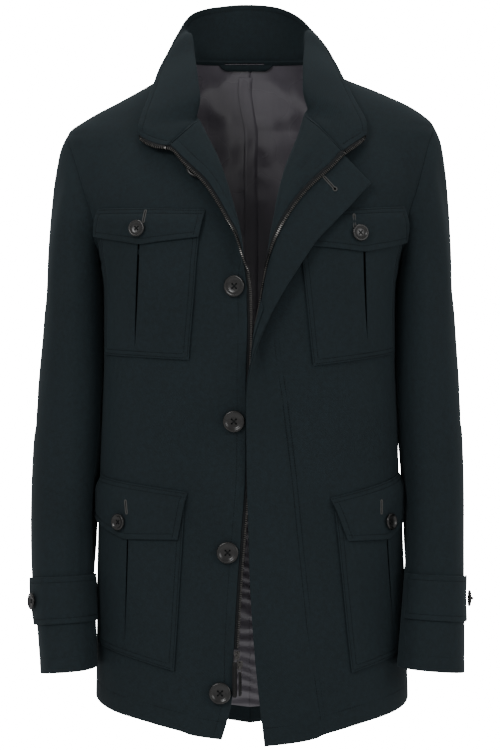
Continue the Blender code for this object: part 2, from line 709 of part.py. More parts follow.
# --- Sleeves -------------------------------------------------------------------------------------
def armhole_loop(side, front, back):
    """The armhole's edge from the shoulder down the front to the armpit and up the back."""
    low = len(BODY_ROWS) - 1
    rows = range(low + ARMHOLE_STEPS, low - 1, -1)
    down = [(front.points[i, -1], front.normals[i, -1]) for i in rows]
    up = [(back.points[i, -1], back.normals[i, -1]) for i in reversed(rows)]
    points = np.array([p for p, _ in down + up[1:-1]])
    normals = np.array([n for _, n in down + up[1:-1]])
    for k, other in ((0, up[-1]), (ARMHOLE_STEPS, up[0])):
        points[k] = (points[k] + other[0]) / 2
        normals[k] = unit(normals[k] + other[1])
    tangent = np.roll(points, -1, axis=0) - np.roll(points, 1, axis=0)
    return points, normals, unit(np.cross(tangent, normals)) * -side


def pocket_bulk(y, z):
    """How much more room a sleeve leaves for the lower pocket and its flap."""
    beside = np.clip((-8 - y) / 16, 0, 1)
    pocket = POCKET[1] * np.clip((-478 - z) / 20, 0, 1)
    flap = (FLAP[1] - POCKET[1]) * np.clip((-470 - z) / 20, 0, 1) * np.clip((z + 575) / 12, 0, 1)
    return beside * (pocket + flap - SHELL / 2) * (z < -470)


def beside_body(side, y, z):
    """The least distance out from the middle at which a sleeve's wall clears the body's side."""
    half, front, back, centre, square = sections(side, z)
    rows = body_rows(side)
    half = np.maximum(half, np.interp(z, rows, sections(side, rows)[0]))
    depth = np.where(y < centre, front, back)
    inside = np.clip(1 - (np.abs(y - centre) / depth) ** square, 0, 1)
    return half * inside ** (1 / square) + 2 * SHELL + BODY_CLEARANCE + pocket_bulk(y, z)


def sleeve_ring(side, z):
    """One ring of the sleeve, from its outer side round by the front."""
    row = {name: float(SLEEVES[side].at(z, name)) for name in SLEEVES[side].columns[1:]}
    angle = np.linspace(0, 2 * np.pi, 2 * ARMHOLE_STEPS + 1)[:-1]
    cos, sin = np.cos(angle), np.sin(angle)
    width, depth = row["half_width"] - SHELL, row["half_depth"] - SHELL
    reach = (np.abs(cos / width) ** SLEEVE_SQUARE + np.abs(sin / depth) ** SLEEVE_SQUARE) ** (
        -1 / SLEEVE_SQUARE
    )
    share = np.clip((SLEEVE_TOP - z) / (SLEEVE_TOP - SLEEVE_END[side]), 0, 1)
    height = z - CUFF_TILT * share**2 * cos
    along = row["along"] - reach * sin
    out = np.maximum(row["out"] + reach * cos, beside_body(side, along, height))
    return np.stack([side * out, along, height], -1)


def sleeve_net(side, front, back):
    start, panel_normals, away = armhole_loop(side, front, back)
    angle = np.linspace(0, 2 * np.pi, 2 * ARMHOLE_STEPS + 1)[:-1]
    top = (1 + np.cos(angle)) / 2
    out = np.stack([side * (0.75 + 0.25 * (1 - top)), -0.3 * np.sin(angle), 0.35 - 1.0 * top], -1)
    out = unit(out)
    fold = np.arctan2(np.sum(out * panel_normals, 1), np.sum(out * away, 1))[:, None]
    start = start + away * (SLEEVE_SET + SHELL * np.maximum(np.sin(fold), 0))
    start_normals = np.cos(fold) * panel_normals - np.sin(fold) * away
    leave = out * np.interp(top, (0, 1), CAP_LEAVES)[:, None]
    arrive = np.stack([0 * angle, 0 * angle, -np.interp(top, (0, 1), CAP_ARRIVES)], -1)
    end = sleeve_ring(side, SLEEVE_TOP)
    rings = []
    for t in np.linspace(0, 1, CAP_ROWS + 1) ** CAP_SPREAD:
        a, b = (1 + 2 * t) * (1 - t) ** 2, t * (1 - t) ** 2
        c, d = t * t * (3 - 2 * t), t * t * (t - 1)
        rings.append(a * start + b * leave + c * end + d * arrive)
    heights = np.linspace(SLEEVE_TOP, SLEEVE_END[side], ARM_ROWS + 1)[1:]
    rings += [sleeve_ring(side, z) for z in heights]
    points = np.array(rings)
    under = points[1:] * np.array([side, 1, 1])
    middle, reach = (SHOULDER_TIP[side] + ARMPIT) / 2, (SHOULDER_TIP[side] - ARMPIT) / 2
    aside = np.clip((under[..., 1] - ARMHOLE_MIDDLE) / ARMHOLE_REACH, -1, 1)
    hangs = under[..., 2] < middle - reach * np.sqrt(1 - aside**2) + HANG_MARGIN
    clear = np.maximum(under[..., 0], beside_body(side, under[..., 1], under[..., 2]))
    points[1:, :, 0] = side * np.where(hangs, clear, under[..., 0])
    closed = np.concatenate([points[:, -1:], points, points[:, :1]], axis=1)
    normals = grid_normals(closed, side)[:, 1:-1]
    normals[0] = start_normals
    rows = np.arange(len(rings))
    return Net(rows, points, normals)


def make_sleeve(side, net, cloth):
    count = 2 * ARMHOLE_STEPS
    pieces = {"top": (BACK_SEAM - count, FRONT_SEAM), "under": (FRONT_SEAM, BACK_SEAM)}
    for name, (first, last) in pieces.items():
        columns = np.arange(first, last + 1) % count
        points, normals = net.points[:, columns], net.normals[:, columns]
        points = pull_in(points, normals, SLEEVE_SEAM)
        wall(f"sleeve_{SIDE_NAME[side]}_{name}", cloth, points, normals, 0, SHELL)


# --- Pockets and flaps ---------------------------------------------------------------------------
def front_column(side, net, z, distance):
    """The front net's column at a height and distance round the body."""
    turned = net.points.shape[1] - len(FRONT_SHARES)
    begin, end = front_start(side, z), side_angle(side, z, False)
    share = (angle_round(side, z, distance) - begin) / (end - begin)
    return turned + np.interp(share, FRONT_SHARES, np.arange(len(FRONT_SHARES)))


def corner_grid(side, net, corners, across, down, hang=None):
    """A grid of the front's points between four corners, measured round the body and in height."""
    sizes = dict(zip(POCKET_COLUMNS.split(), corners))
    rows, columns = [], []
    for j, v in enumerate(down):
        for k, u in enumerate(across):
            top = sizes["inner_top"] * (1 - u) + sizes["outer_top"] * u
            top_z = sizes["inner_top_z"] * (1 - u) + sizes["outer_top_z"] * u
            low = sizes["inner_low"] * (1 - u) + sizes["outer_low"] * u
            low_z = sizes["inner_low_z"] * (1 - u) + sizes["outer_low_z"] * u
            low_z -= hang[k] if hang is not None else 0
            z = top_z * (1 - v) + low_z * v
            rows.append(z)
            columns.append(front_column(side, net, z, top * (1 - v) + low * v))
    shape = (len(down), len(across))
    return net.at(np.reshape(rows, shape), np.reshape(columns, shape))


def make_pocket(name, side, corners, net, cloth):
    slit = np.array([-0.03, -0.006, 0.006, 0.03]) + (PLEAT_AT if "chest" in name else PLEAT_AT + 0.02)
    across = np.concatenate([[0, 0.12, 0.24, 0.36, 0.44], slit, [0.63, 0.72, 0.81, 0.9, 1]])
    top, bottom = corners[1], corners[5]
    shares = [(top - z) / (top - bottom) for z in net.rows[::-1]]
    down = np.array([0, *[v for v in shares if 0.06 < v < 0.94], 1])
    points, normals = corner_grid(side, net, corners, across, down)
    low = np.full(points.shape[:2], POCKET[0])
    high = np.full(points.shape[:2], POCKET[1])
    low[1:-1, 6:8], high[1:-1, 6:8] = PLEAT
    wall(name, cloth, points, normals, low, high)


def make_flap(name, side, corners, point, net, cloth):
    across = np.linspace(0, 1, 11)
    depth = corners[1] - corners[5]
    down = np.array([0, 6 / depth, 12 / depth, 0.6, 1])
    hang = point * np.clip(1 - np.abs(across - 0.5) / 0.5, 0, 1)
    points, normals = corner_grid(side, net, corners, across, down, hang)
    lift = (FLAP[0] - FLAP_TOP[0]) * np.array([0, 0.5, 1, 1, 1])[:, None]
    wall(name, cloth, points, normals, FLAP_TOP[0] + lift, FLAP_TOP[1] + lift)


# --- Cuff straps ---------------------------------------------------------------------------------
def around_sleeve(net):
    """The sleeve's net with its columns run past both ends, so that a strap can cross its top."""
    columns = np.arange(-STRAP_TURN, 2 * ARMHOLE_STEPS + 1) % (2 * ARMHOLE_STEPS)
    return Net(net.rows, net.points[:, columns], net.normals[:, columns])


def arm_row(side, z):
    return CAP_ROWS + (SLEEVE_TOP - z) / (SLEEVE_TOP - SLEEVE_END[side]) * ARM_ROWS


def make_strap(side, net, cloth):
    """The cuff strap, sewn in at the front seam and buttoned at its pointed end."""
    low, high, start, end, _ = CUFF_STRAPS[side]
    ring = around_sleeve(net)
    whole = [k for k in range(math.ceil(end + 0.8), math.ceil(start))]
    rows, columns, lifts = [], [], []
    for v in np.linspace(0, 1, 5):
        tip = end + STRAP_POINT * abs(2 * v - 1)
        rows.append([arm_row(side, high + (low - high) * v)] * (len(whole) + 2))
        columns.append([tip, *whole, start])
        lifts.append([STRAP_SPRING, *[0.0] * (len(whole) + 1)])
    points, normals = ring.at(rows, np.array(columns) + STRAP_TURN)
    lifts = np.array(lifts)
    wall(f"cuff_strap_{SIDE_NAME[side]}", cloth, points, normals, STRAP[0] + lifts, STRAP[1] + lifts)


# --- Zip -----------------------------------------------------------------------------------------
def make_zip_tape(side, net, collar, material):
    """The tape with its row of teeth, along the front's zip line and up the collar's short edge."""
    column = ZIP_COLUMN if side == LEFT else 0
    heights = [ZIP_FOOT[side], *net.rows[(net.rows > ZIP_FOOT[side] + 5) & (net.rows <= NECK_SEAM[side])]]
    edge, normals = net.at(heights, column)
    inside, _ = net.at(heights, column + 1)
    first, second = (0, 1) if side == RIGHT else (-1, -2)
    edge = np.concatenate([edge, collar.points[1:, first]])
    inside = np.concatenate([inside, collar.points[1:, second]])
    normals = np.concatenate([normals, collar.normals[1:, first]])
    out = unit(edge - inside)
    points = np.stack([edge + out * TAPE_GAP, edge + out * TAPE_WIDTH], 1)
    normals = np.stack([normals, normals], 1)
    level = np.full((len(edge), 2), TAPE_LEVEL)
    if side == LEFT:
        beyond, _ = net.at(heights, column - 1)
        reach = np.linalg.norm(beyond - edge[: len(heights)], axis=1)
        for k, distance in enumerate((TAPE_GAP, TAPE_WIDTH)):
            on_fly = net.at(heights, column - distance / reach)
            points[: len(heights), k], normals[: len(heights), k] = on_fly
        level[: len(heights)] = SECOND[0] - 4 * LAYER_GAP
    wall(f"zip_tape_{SIDE_NAME[side]}", material, points, normals, level, level + THIN)


def prism(outline, low, high, place):
    """A bmesh prism of an outline (across, up), from low to high forward, mapped by place."""
    bm = bmesh.new()
    ends = [[bm.verts.new(place(x, z, y)) for x, z in outline] for y in (low, high)]
    bm.faces.new(ends[0])
    bm.faces.new(list(reversed(ends[1])))
    for k in range(len(outline)):
        following = (k + 1) % len(outline)
        bm.faces.new([ends[0][k], ends[1][k], ends[1][following], ends[0][following]])
    return bm


def joined(name, bodies, material, origin):
    """One closed object of bodies that run into each other, with its origin at a given point."""
    made = [add_object(f"{name}_{k}", bm, material) for k, bm in enumerate(bodies)]
    for other in made[1:]:
        union = made[0].modifiers.new("union", "BOOLEAN")
        union.operation, union.solver, union.object = "UNION", "EXACT", other
    graph = bpy.context.evaluated_depsgraph_get()
    mesh = bpy.data.meshes.new_from_object(made[0].evaluated_get(graph))
    for piece in made:
        bpy.data.objects.remove(piece)
    mesh.transform(Matrix.Translation(-Vector(origin) * MM))
    final = bpy.data.objects.new(name, mesh)
    final.location = Vector(origin) * MM
    mesh.name = name
    bpy.context.scene.collection.objects.link(final)


def make_slider(name, x, z, metal):
    """A zip slider: a tapered shell with an arched loop on its front that holds the pull."""
    front, back = SLIDER_Y - SLIDER_DEPTH / 2, SLIDER_Y + SLIDER_DEPTH / 2
    body = [(-3.5, 4.8), (3.5, 4.8), (3.3, 1.0), (2.5, -4.8), (-2.5, -4.8), (-3.3, 1.0)]
    shell = prism(body, back, front, lambda a, b, y: (x + a, y, z + b))
    arch = [(0.2, 3.6), (-LOOP_REACH, 2.6), (-LOOP_REACH, -2.6), (0.2, -3.6)]
    hole = [(0.2, -2.2), (-LOOP_REACH + 1.0, -1.8), (-LOOP_REACH + 1.0, 1.8), (0.2, 2.2)]
    half = LOOP_WIDTH / 2
    loop = prism(arch + hole, -half, half, lambda a, b, across: (x + across, front + a, z + b))
    joined(name, [shell, loop], metal, (x, SLIDER_Y, z))


def make_pull(name, x, z, link_width, tab, leather):
    """A pull: a wire link through the slider's loop and a leather tab, as one moving piece."""
    pivot_y = SLIDER_Y - SLIDER_DEPTH / 2 - LOOP_HOLD
    half, wire, reach = link_width / 2, LINK_WIRE, LINK_REACH
    bodies = []
    bars = (
        [(-half, 0.45), (half, 0.45), (half, -0.45), (-half, -0.45)],
        [(-half, 0.45), (-half + wire, 0.45), (-half + wire, -reach), (-half, -reach)],
        [(half - wire, 0.45), (half, 0.45), (half, -reach), (half - wire, -reach)],
        [(-half, -reach + wire), (half, -reach + wire), (half, -reach), (-half, -reach)],
    )
    for bar in bars:
        bodies.append(prism(bar, -0.45, 0.45, lambda a, b, y: (x + a, pivot_y + y, z + b)))
    centre, width, thickness, length, turn = tab
    cos, sin = math.cos(math.radians(turn)), math.sin(math.radians(turn))
    shape = [(-0.40, 1.2), (0.40, 1.2), (0.5, -4), (0.5, -length + 2), (0.38, -length)]
    shape += [(-0.38, -length), (-0.5, -length + 2), (-0.5, -4)]
    outline = [(a * width, b) for a, b in shape]
    place = lambda a, b, y: (centre + a * cos - y * sin, pivot_y + a * sin + y * cos, z - reach + b)
    bodies.append(prism(outline, -thickness / 2, thickness / 2, place))
    joined(name, bodies, leather, (x, pivot_y, z))


# --- Buttons -------------------------------------------------------------------------------------
def button_mesh(name, radius, horn):
    """A round button with a raised rim and a dished face, its back on the origin."""
    profile = [(radius - 1.6, 0), (radius, 1.3), (radius - 0.2, 2.9), (radius - 1.5, 3.7), (radius - 3.6, 2.5)]
    bm = bmesh.new()
    rings = []
    for r, h in profile:
        steps = [2 * math.pi * k / BUTTON_SIDES for k in range(BUTTON_SIDES)]
        rings.append([bm.verts.new((r * math.cos(a), r * math.sin(a), h)) for a in steps])
    bm.faces.new(list(reversed(rings[0])))
    bm.faces.new(rings[-1])
    for below, above in zip(rings, rings[1:]):
        for k in range(BUTTON_SIDES):
            after = (k + 1) % BUTTON_SIDES
            bm.faces.new([below[k], below[after], above[after], above[k]])
    return make_mesh(name, bm, horn)


def place_button(name, mesh, point, normal):
    button = bpy.data.objects.new(name, mesh)
    turn = Vector(normal.tolist()).to_track_quat("Z", "Y").to_matrix().to_4x4()
    button.matrix_world = Matrix.Translation(Vector(point.tolist()) * MM) @ turn
    bpy.context.scene.collection.objects.link(button)


def make_buttons(fronts, sleeves, horn):
    coat, small = button_mesh("coat_button", COAT_BUTTON, horn), button_mesh("small_button", SMALL_BUTTON, horn)
    for name, (z, share) in FRONT_BUTTONS.items():
        shares = turned_shares(RIGHT, z)
        column = float(np.interp(-share, -shares, np.arange(len(shares))))
        point, normal = fronts[RIGHT].at(z, column)
        place_button(name, coat, point + normal * (SHELL + BUTTON_GAP), normal)
    for name, (side, distance, z) in FLAP_BUTTONS.items():
        column = front_column(side, fronts[side], z, distance)
        point, normal = fronts[side].at(z, column)
        place_button(name, small, point + normal * (FLAP[1] + BUTTON_GAP), normal)
    for side, (low, high, _, _, at) in CUFF_STRAPS.items():
        ring = around_sleeve(sleeves[side])
        point, normal = ring.at(arm_row(side, (low + high) / 2), at + STRAP_TURN)
        lifted = point + normal * (STRAP[1] + STRAP_SPRING * 0.6 + BUTTON_GAP)
        place_button(f"button_cuff_{SIDE_NAME[side]}", small, lifted, normal)


def make_hanger_patch(backs, cloth):
    """The patch under the collar that takes the hanger loop."""
    shares = (1, 0.67, 0.33, 0)
    points, normals = [], []
    for height, right, left, lip in PATCH_ROWS:
        places = [(RIGHT, right * share) for share in shares] + [(LEFT, left * share) for share in shares[::-1]]
        row = [backs[side].at(height, column) for side, column in places]
        points.append([point + np.array(lip) for point, _ in row])
        normals.append([normal for _, normal in row])
    points, normals = np.array(points), np.array(normals)
    wall("hanger_patch", cloth, points, normals, *PATCH)


def make_fly_band(net, cloth):
    """The strip inside the fly that carries its hidden buttonholes."""
    rows = net.rows[(net.rows > FLY_BAND[0]) & (net.rows < FLY_BAND[1])]
    grid = np.broadcast_to(np.array([1.0, 2.0]), (len(rows), 2))
    points, normals = net.at(np.broadcast_to(rows[:, None], grid.shape), grid)
    wall("fly_band_left", cloth, points, normals, *SECOND)


def main():
    clear_scene()
    cloth = make_material("shell_cloth", SHELL_CLOTH, 0.85)
    satin = make_material("lining_satin", LINING_CLOTH, 0.35)
    horn = make_material("button_horn", BUTTON_HORN, 0.35)
    tape = make_material("zip_tape", ZIP_TAPE, 0.9)
    metal = make_material("zip_metal", ZIP_METAL, 0.3, metallic=1.0)
    leather = make_material("pull_leather", PULL_LEATHER, 0.55)
    fronts = {side: front_net(side) for side in (RIGHT, LEFT)}
    backs = {side: back_net(side) for side in (RIGHT, LEFT)}
    sleeves = {side: sleeve_net(side, fronts[side], backs[side]) for side in (RIGHT, LEFT)}
    collar = collar_net(fronts, backs)
    for side in (RIGHT, LEFT):
        make_front(side, fronts[side], cloth)
        make_back(side, backs[side], cloth)
        make_lining(side, backs[side], satin)
        make_sleeve(side, sleeves[side], cloth)
        make_strap(side, sleeves[side], cloth)
        make_zip_tape(side, fronts[side], collar, tape)
    make_facings(fronts, cloth)
    make_fly_band(fronts[LEFT], cloth)
    make_collar(collar, cloth)
    make_hanger_patch(backs, cloth)
    for name, (side, corners) in POCKETS.items():
        make_pocket(name, side, corners, fronts[side], cloth)
    for name, (side, corners, point) in FLAPS.items():
        make_flap(name, side, corners, point, fronts[side], cloth)
    make_buttons(fronts, sleeves, horn)
    for level, (x, z) in SLIDERS.items():
        make_slider(f"zip_slider_{level}", x, z, metal)
        make_pull(f"zip_pull_{level}", *PULLS[level], leather)


main()
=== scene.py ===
"""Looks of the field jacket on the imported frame: creased cloth, stitching, zip teeth and fastenings.

Lengths are millimetres, and MM turns them into metres where a mesh is made. +X is the wearer's left,
-Y the front and +Z up. "Right" and "left" are the wearer's.
"""

import json
import math

import bpy
import numpy as np
from mathutils import Matrix, Vector
from mathutils.bvhtree import BVHTree
from mathutils.kdtree import KDTree

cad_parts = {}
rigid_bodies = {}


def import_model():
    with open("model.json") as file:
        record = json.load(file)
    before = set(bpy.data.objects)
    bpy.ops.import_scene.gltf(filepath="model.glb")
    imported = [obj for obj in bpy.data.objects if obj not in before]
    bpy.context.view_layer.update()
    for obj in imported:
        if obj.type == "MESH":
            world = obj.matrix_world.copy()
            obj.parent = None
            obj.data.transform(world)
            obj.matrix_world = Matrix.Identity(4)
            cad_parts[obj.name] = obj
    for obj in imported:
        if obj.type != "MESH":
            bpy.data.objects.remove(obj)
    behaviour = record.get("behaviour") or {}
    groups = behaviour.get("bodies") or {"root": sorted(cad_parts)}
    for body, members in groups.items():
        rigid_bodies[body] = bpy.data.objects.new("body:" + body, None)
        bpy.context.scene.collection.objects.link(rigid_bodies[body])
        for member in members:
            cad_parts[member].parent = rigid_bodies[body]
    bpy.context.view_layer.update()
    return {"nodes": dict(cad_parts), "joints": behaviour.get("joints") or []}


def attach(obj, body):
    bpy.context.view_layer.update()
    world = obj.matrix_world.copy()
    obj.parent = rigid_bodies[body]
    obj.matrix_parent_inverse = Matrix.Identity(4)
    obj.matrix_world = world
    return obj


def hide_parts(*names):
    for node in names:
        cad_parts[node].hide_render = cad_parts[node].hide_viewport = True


MM = 0.001
BODY = "garment"
SIDES = ("right", "left")

for obj in list(bpy.data.objects):
    bpy.data.objects.remove(obj)
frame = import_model()

# --- Camera, in the photograph's frame of 500 x 750 ----------------------------------------------
PICTURE = (500, 750)
CAMERA_PLACE = np.array([0.0, -4100.0, -368.0])
PIXEL_AT_MIDDLE = 1.2  # one pixel's size in the plane y = 0
SENSOR = 36.0


def make_camera():
    data = bpy.data.cameras.new("camera")
    data.sensor_width = SENSOR
    data.lens = SENSOR * -CAMERA_PLACE[1] / (PIXEL_AT_MIDDLE * max(PICTURE))
    data.clip_end = 50
    camera = bpy.data.objects.new("camera", data)
    camera.location = CAMERA_PLACE * MM
    camera.rotation_euler = (math.pi / 2, 0, 0)
    bpy.context.scene.collection.objects.link(camera)
    bpy.context.scene.camera = camera


def sight(across, down):
    """The direction in which the camera sees a pixel."""
    x = (across - PICTURE[0] / 2) * PIXEL_AT_MIDDLE
    z = (PICTURE[1] / 2 - down) * PIXEL_AT_MIDDLE
    return Vector((x, -CAMERA_PLACE[1], z)).normalized()


# --- Materials -----------------------------------------------------------------------------------
SHELL_COLOUR = (0.0112, 0.0181, 0.0214)
LINING_COLOUR = (0.125, 0.115, 0.136)
HORN_COLOUR = (0.0085, 0.0082, 0.0080)
THREAD_COLOUR = (0.0035, 0.0048, 0.0055)
PALE_THREAD_COLOUR = (0.075, 0.076, 0.074)
TAPE_COLOUR = (0.009, 0.010, 0.011)
METAL_COLOUR = (0.10, 0.096, 0.092)
LEATHER_COLOUR = (0.006, 0.006, 0.006)
# painted shade: the near-black colours given to slits and pleat undersides, which lie in shadow
GAP_SHADE_COLOURS = (0.0008, 0.001, 0.001), (0.002, 0.0026, 0.0028)


class Nodes:
    """Builds a material's nodes and joins them up."""

    def __init__(self, name):
        self.material = bpy.data.materials.new(name)
        self.material.use_nodes = True
        self.tree = self.material.node_tree
        self.shader = self.tree.nodes["Principled BSDF"]

    def add(self, kind, **values):
        node = self.tree.nodes.new(kind)
        for key, value in values.items():
            if key in node.inputs:
                node.inputs[key].default_value = value
            else:
                setattr(node, key, value)
        return node

    def join(self, start, end):
        self.tree.links.new(start, end)

    def place(self, scale=(1, 1, 1), turn=0.0, source="Object"):
        """Coordinates scaled and turned about Z."""
        mapping = self.add("ShaderNodeMapping", Scale=scale, Rotation=(0, 0, turn))
        self.join(self.add("ShaderNodeTexCoord").outputs[source], mapping.inputs["Vector"])
        return mapping.outputs["Vector"]

    def noise(self, scale, detail=2.0, vector=None, roughness=0.5):
        node = self.add("ShaderNodeTexNoise", Scale=scale, Detail=detail, Roughness=roughness)
        self.join(vector if vector is not None else self.place(), node.inputs["Vector"])
        return node.outputs["Fac"]

    def ramp(self, value, low, high, start=0.3, end=0.7):
        """A colour or a number that runs from low to high as value runs from start to end."""
        node = self.add("ShaderNodeValToRGB")
        elements = node.color_ramp.elements
        for element, at, colour in zip(elements, (start, end), (low, high)):
            element.position = at
            element.color = (*colour, 1) if hasattr(colour, "__len__") else (colour, colour, colour, 1)
        self.join(value, node.inputs["Fac"])
        return node.outputs["Color"]

    def sum(self, values):
        """The sum of pairs of an output and its weight."""
        total = None
        for output, weight in values:
            part = self.add("ShaderNodeMath", operation="MULTIPLY")
            part.inputs[1].default_value = weight
            self.join(output, part.inputs[0])
            if total is not None:
                both = self.add("ShaderNodeMath", operation="ADD")
                self.join(total, both.inputs[0])
                self.join(part.outputs[0], both.inputs[1])
                part = both
            total = part.outputs[0]
        return total

    def bump(self, height, distance, strength=1.0):
        node = self.add("ShaderNodeBump", Distance=distance, Strength=strength)
        self.join(height, node.inputs["Height"])
        self.join(node.outputs["Normal"], self.shader.inputs["Normal"])

    def shade(self, value, colour, low, high, start=0.3, end=0.7):
        """The base colour: a colour times low where value is small, and times high where it is great."""
        dark, light = (tuple(c * factor for c in colour) for factor in (low, high))
        self.join(self.ramp(value, dark, light, start, end), self.shader.inputs["Base Color"])

    def roughen(self, value, low, high):
        self.join(self.ramp(value, low, high), self.shader.inputs["Roughness"])

    def done(self, **values):
        """Sets the shader's plain values and gives the material."""
        for key, value in values.items():
            self.shader.inputs[key.replace("_", " ")].default_value = value
        return self.material


def make_shell_cloth():
    """Dense brushed wool: a fine diagonal twill under a short nap, faintly mottled."""
    m = Nodes("shell_wool")
    wave = m.add("ShaderNodeTexWave", Scale=1.0, Distortion=1.2, Detail=1.0, **{"Detail Scale": 1.5})
    m.join(m.place((220, 220, 220), math.radians(63), "UV"), wave.inputs["Vector"])
    twill = wave.outputs["Fac"]
    nap = m.noise(1100, 3.0, roughness=0.65)
    mottle = m.noise(210, 3.0, roughness=0.6)
    shade = m.sum([(nap, 0.42), (mottle, 0.38), (m.noise(9), 0.12), (twill, 0.08)])
    m.shade(shade, SHELL_COLOUR, 0.62, 1.42, 0.36, 0.64)
    m.roughen(mottle, 0.78, 0.92)
    m.bump(m.sum([(nap, 0.7), (twill, 0.3)]), 0.0004, 0.55)
    return m.done(Specular_IOR_Level=0.2, Sheen_Weight=0.07, Sheen_Roughness=0.45,
                  Sheen_Tint=(0.55, 0.72, 0.80, 1))


def make_satin():
    """Glossy lining satin with fine lengthwise floats and faint slubs."""
    m = Nodes("satin_weave")
    fine = m.noise(1.0, vector=m.place((1500, 1500, 60)))
    slub = m.noise(1.0, 1.0, m.place((180, 180, 14)))
    weave = m.sum([(fine, 0.45), (slub, 0.55)])
    m.shade(weave, LINING_COLOUR, 0.93, 1.06)
    m.join(m.sum([(m.noise(14), 0.6)]), m.shader.inputs["Roughness"])
    m.bump(weave, 0.0001, 0.12)
    return m.done(Specular_IOR_Level=0.75, Anisotropic=0.45, Sheen_Weight=0.15, Sheen_Roughness=0.3)


def make_horn():
    """Dark polished horn with faint streaks."""
    m = Nodes("polished_horn")
    streak = m.noise(1.0, 3.0, m.place((60, 60, 420)))
    m.shade(streak, HORN_COLOUR, 0.6, 2.2)
    m.roughen(streak, 0.22, 0.34)
    m.bump(m.noise(700), 0.0001, 0.25)
    return m.done(Specular_IOR_Level=0.45, Coat_Weight=0.15, Coat_Roughness=0.22)


def make_thread(name, colour):
    """Twisted sewing thread."""
    m = Nodes(name)
    twist = m.noise(2400)
    m.shade(twist, colour, 0.6, 1.5)
    m.bump(twist, 0.0002, 0.6)
    return m.done(Roughness=0.7, Specular_IOR_Level=0.15)


def make_tape():
    """Woven zip tape with fine cross ribs."""
    m = Nodes("zip_tape_weave")
    rib = m.noise(1.0, 1.0, m.place((900, 900, 1700)))
    m.shade(rib, TAPE_COLOUR, 0.6, 1.8)
    m.bump(rib, 0.0003, 0.7)
    return m.done(Roughness=0.85, Specular_IOR_Level=0.15, Sheen_Weight=0.05)


def make_metal():
    """Dark nickel plate, worn brighter in places."""
    m = Nodes("zip_nickel")
    wear = m.noise(260, 3.0, roughness=0.6)
    m.shade(wear, METAL_COLOUR, 0.7, 1.25)
    m.roughen(wear, 0.208, 0.338)
    m.bump(m.noise(1500), 0.0001, 0.2)
    return m.done(Metallic=1.0)


def make_leather():
    """Black pull leather with a fine pebble grain."""
    m = Nodes("pebbled_leather")
    cells = m.add("ShaderNodeTexVoronoi", Scale=1300.0)
    m.join(m.place(), cells.inputs["Vector"])
    grain = m.sum([(cells.outputs["Distance"], 0.8), (m.noise(500), 0.2)])
    m.shade(grain, LEATHER_COLOUR, 0.5, 2.0)
    m.roughen(grain, 0.35, 0.55)
    m.bump(grain, 0.0002, 0.5)
    return m.done(Specular_IOR_Level=0.22, Coat_Weight=0.10, Coat_Roughness=0.2)


def make_gap_shade():
    """Painted shade: near-black wool for the dark inside of a slit or a pleat, where the cloth lies in
    shadow.
    """
    m = Nodes("shadowed_wool")
    m.join(m.ramp(m.noise(900), *GAP_SHADE_COLOURS), m.shader.inputs["Base Color"])
    return m.done(Roughness=1.0, Specular_IOR_Level=0.05)


WOOL = make_shell_cloth()
SATIN = make_satin()
HORN = make_horn()
THREAD = make_thread("seam_thread", THREAD_COLOUR)
PALE_THREAD = make_thread("buttonhole_thread", PALE_THREAD_COLOUR)
TAPE = make_tape()
METAL = make_metal()
LEATHER = make_leather()
GAP_SHADE = make_gap_shade()


# --- Cloth walls, read back from the frame's nodes -----------------------------------------------
EXACT = 0.0015  # how nearly an edge across a wall has the wall's thickness
COARSE = 5.0
FINE = 1.7
EDGE_ZONE = 11.0  # how far in from a stitched edge the mesh is fine
RIM_ANGLES = (45, 0, -45)
SEAM_CLOSING = 0.25  # how far each panel is drawn to its seam, so that no light shows through


def unit(v):
    return v / np.maximum(np.linalg.norm(v, axis=-1, keepdims=True), 1e-9)


def run_of(points):
    """How far along a run of points each of them lies."""
    return np.concatenate([[0], np.cumsum(np.linalg.norm(np.diff(points, axis=0), axis=1))])


def drawn(values, run, places):
    """What the values along a run are at places on it."""
    return np.stack([np.interp(places, run, values[:, k]) for k in range(3)], axis=-1)


def even_out(points, times):
    """Smooths a run of points between its ends."""
    for _ in range(times):
        points[1:-1] = (points[:-2] + 2 * points[1:-1] + points[2:]) / 4


def third_corners(p, q):
    """The two places in the grid that can face the edge between two neighbours."""
    (i, j), (m, n) = sorted((p, q))
    return {
        (1, 1): [(i + 1, j), (i, j + 1)],
        (0, 1): [(i + 1, j + 1), (i - 1, j)],
        (1, 0): [(i + 1, j + 1), (i, j - 1)],
    }[(m - i, n - j)]


def edges_of(triangle):
    a, b, c = triangle
    return (min(a, b), max(a, b)), (min(b, c), max(b, c)), (min(c, a), max(c, a))


def spread_labels(triangles, by_edge, labels, first):
    """Carries grid places from one labelled triangle to all that it joins."""
    waiting = [first]
    seen = {first}
    while waiting:
        k = waiting.pop()
        for edge in edges_of(triangles[k]):
            for other in by_edge[edge]:
                if other in seen:
                    continue
                seen.add(other)
                known = next(v for v in triangles[k] if v not in edge)
                new = next(v for v in triangles[other] if v not in edge)
                options = third_corners(labels[edge[0]], labels[edge[1]])
                options.remove(labels[known])
                labels[new] = options[0]
                waiting.append(other)
    return seen


def by_edges(triangles):
    found = {}
    for k, triangle in triangles.items():
        for edge in edges_of(triangle):
            found.setdefault(edge, []).append(k)
    return found


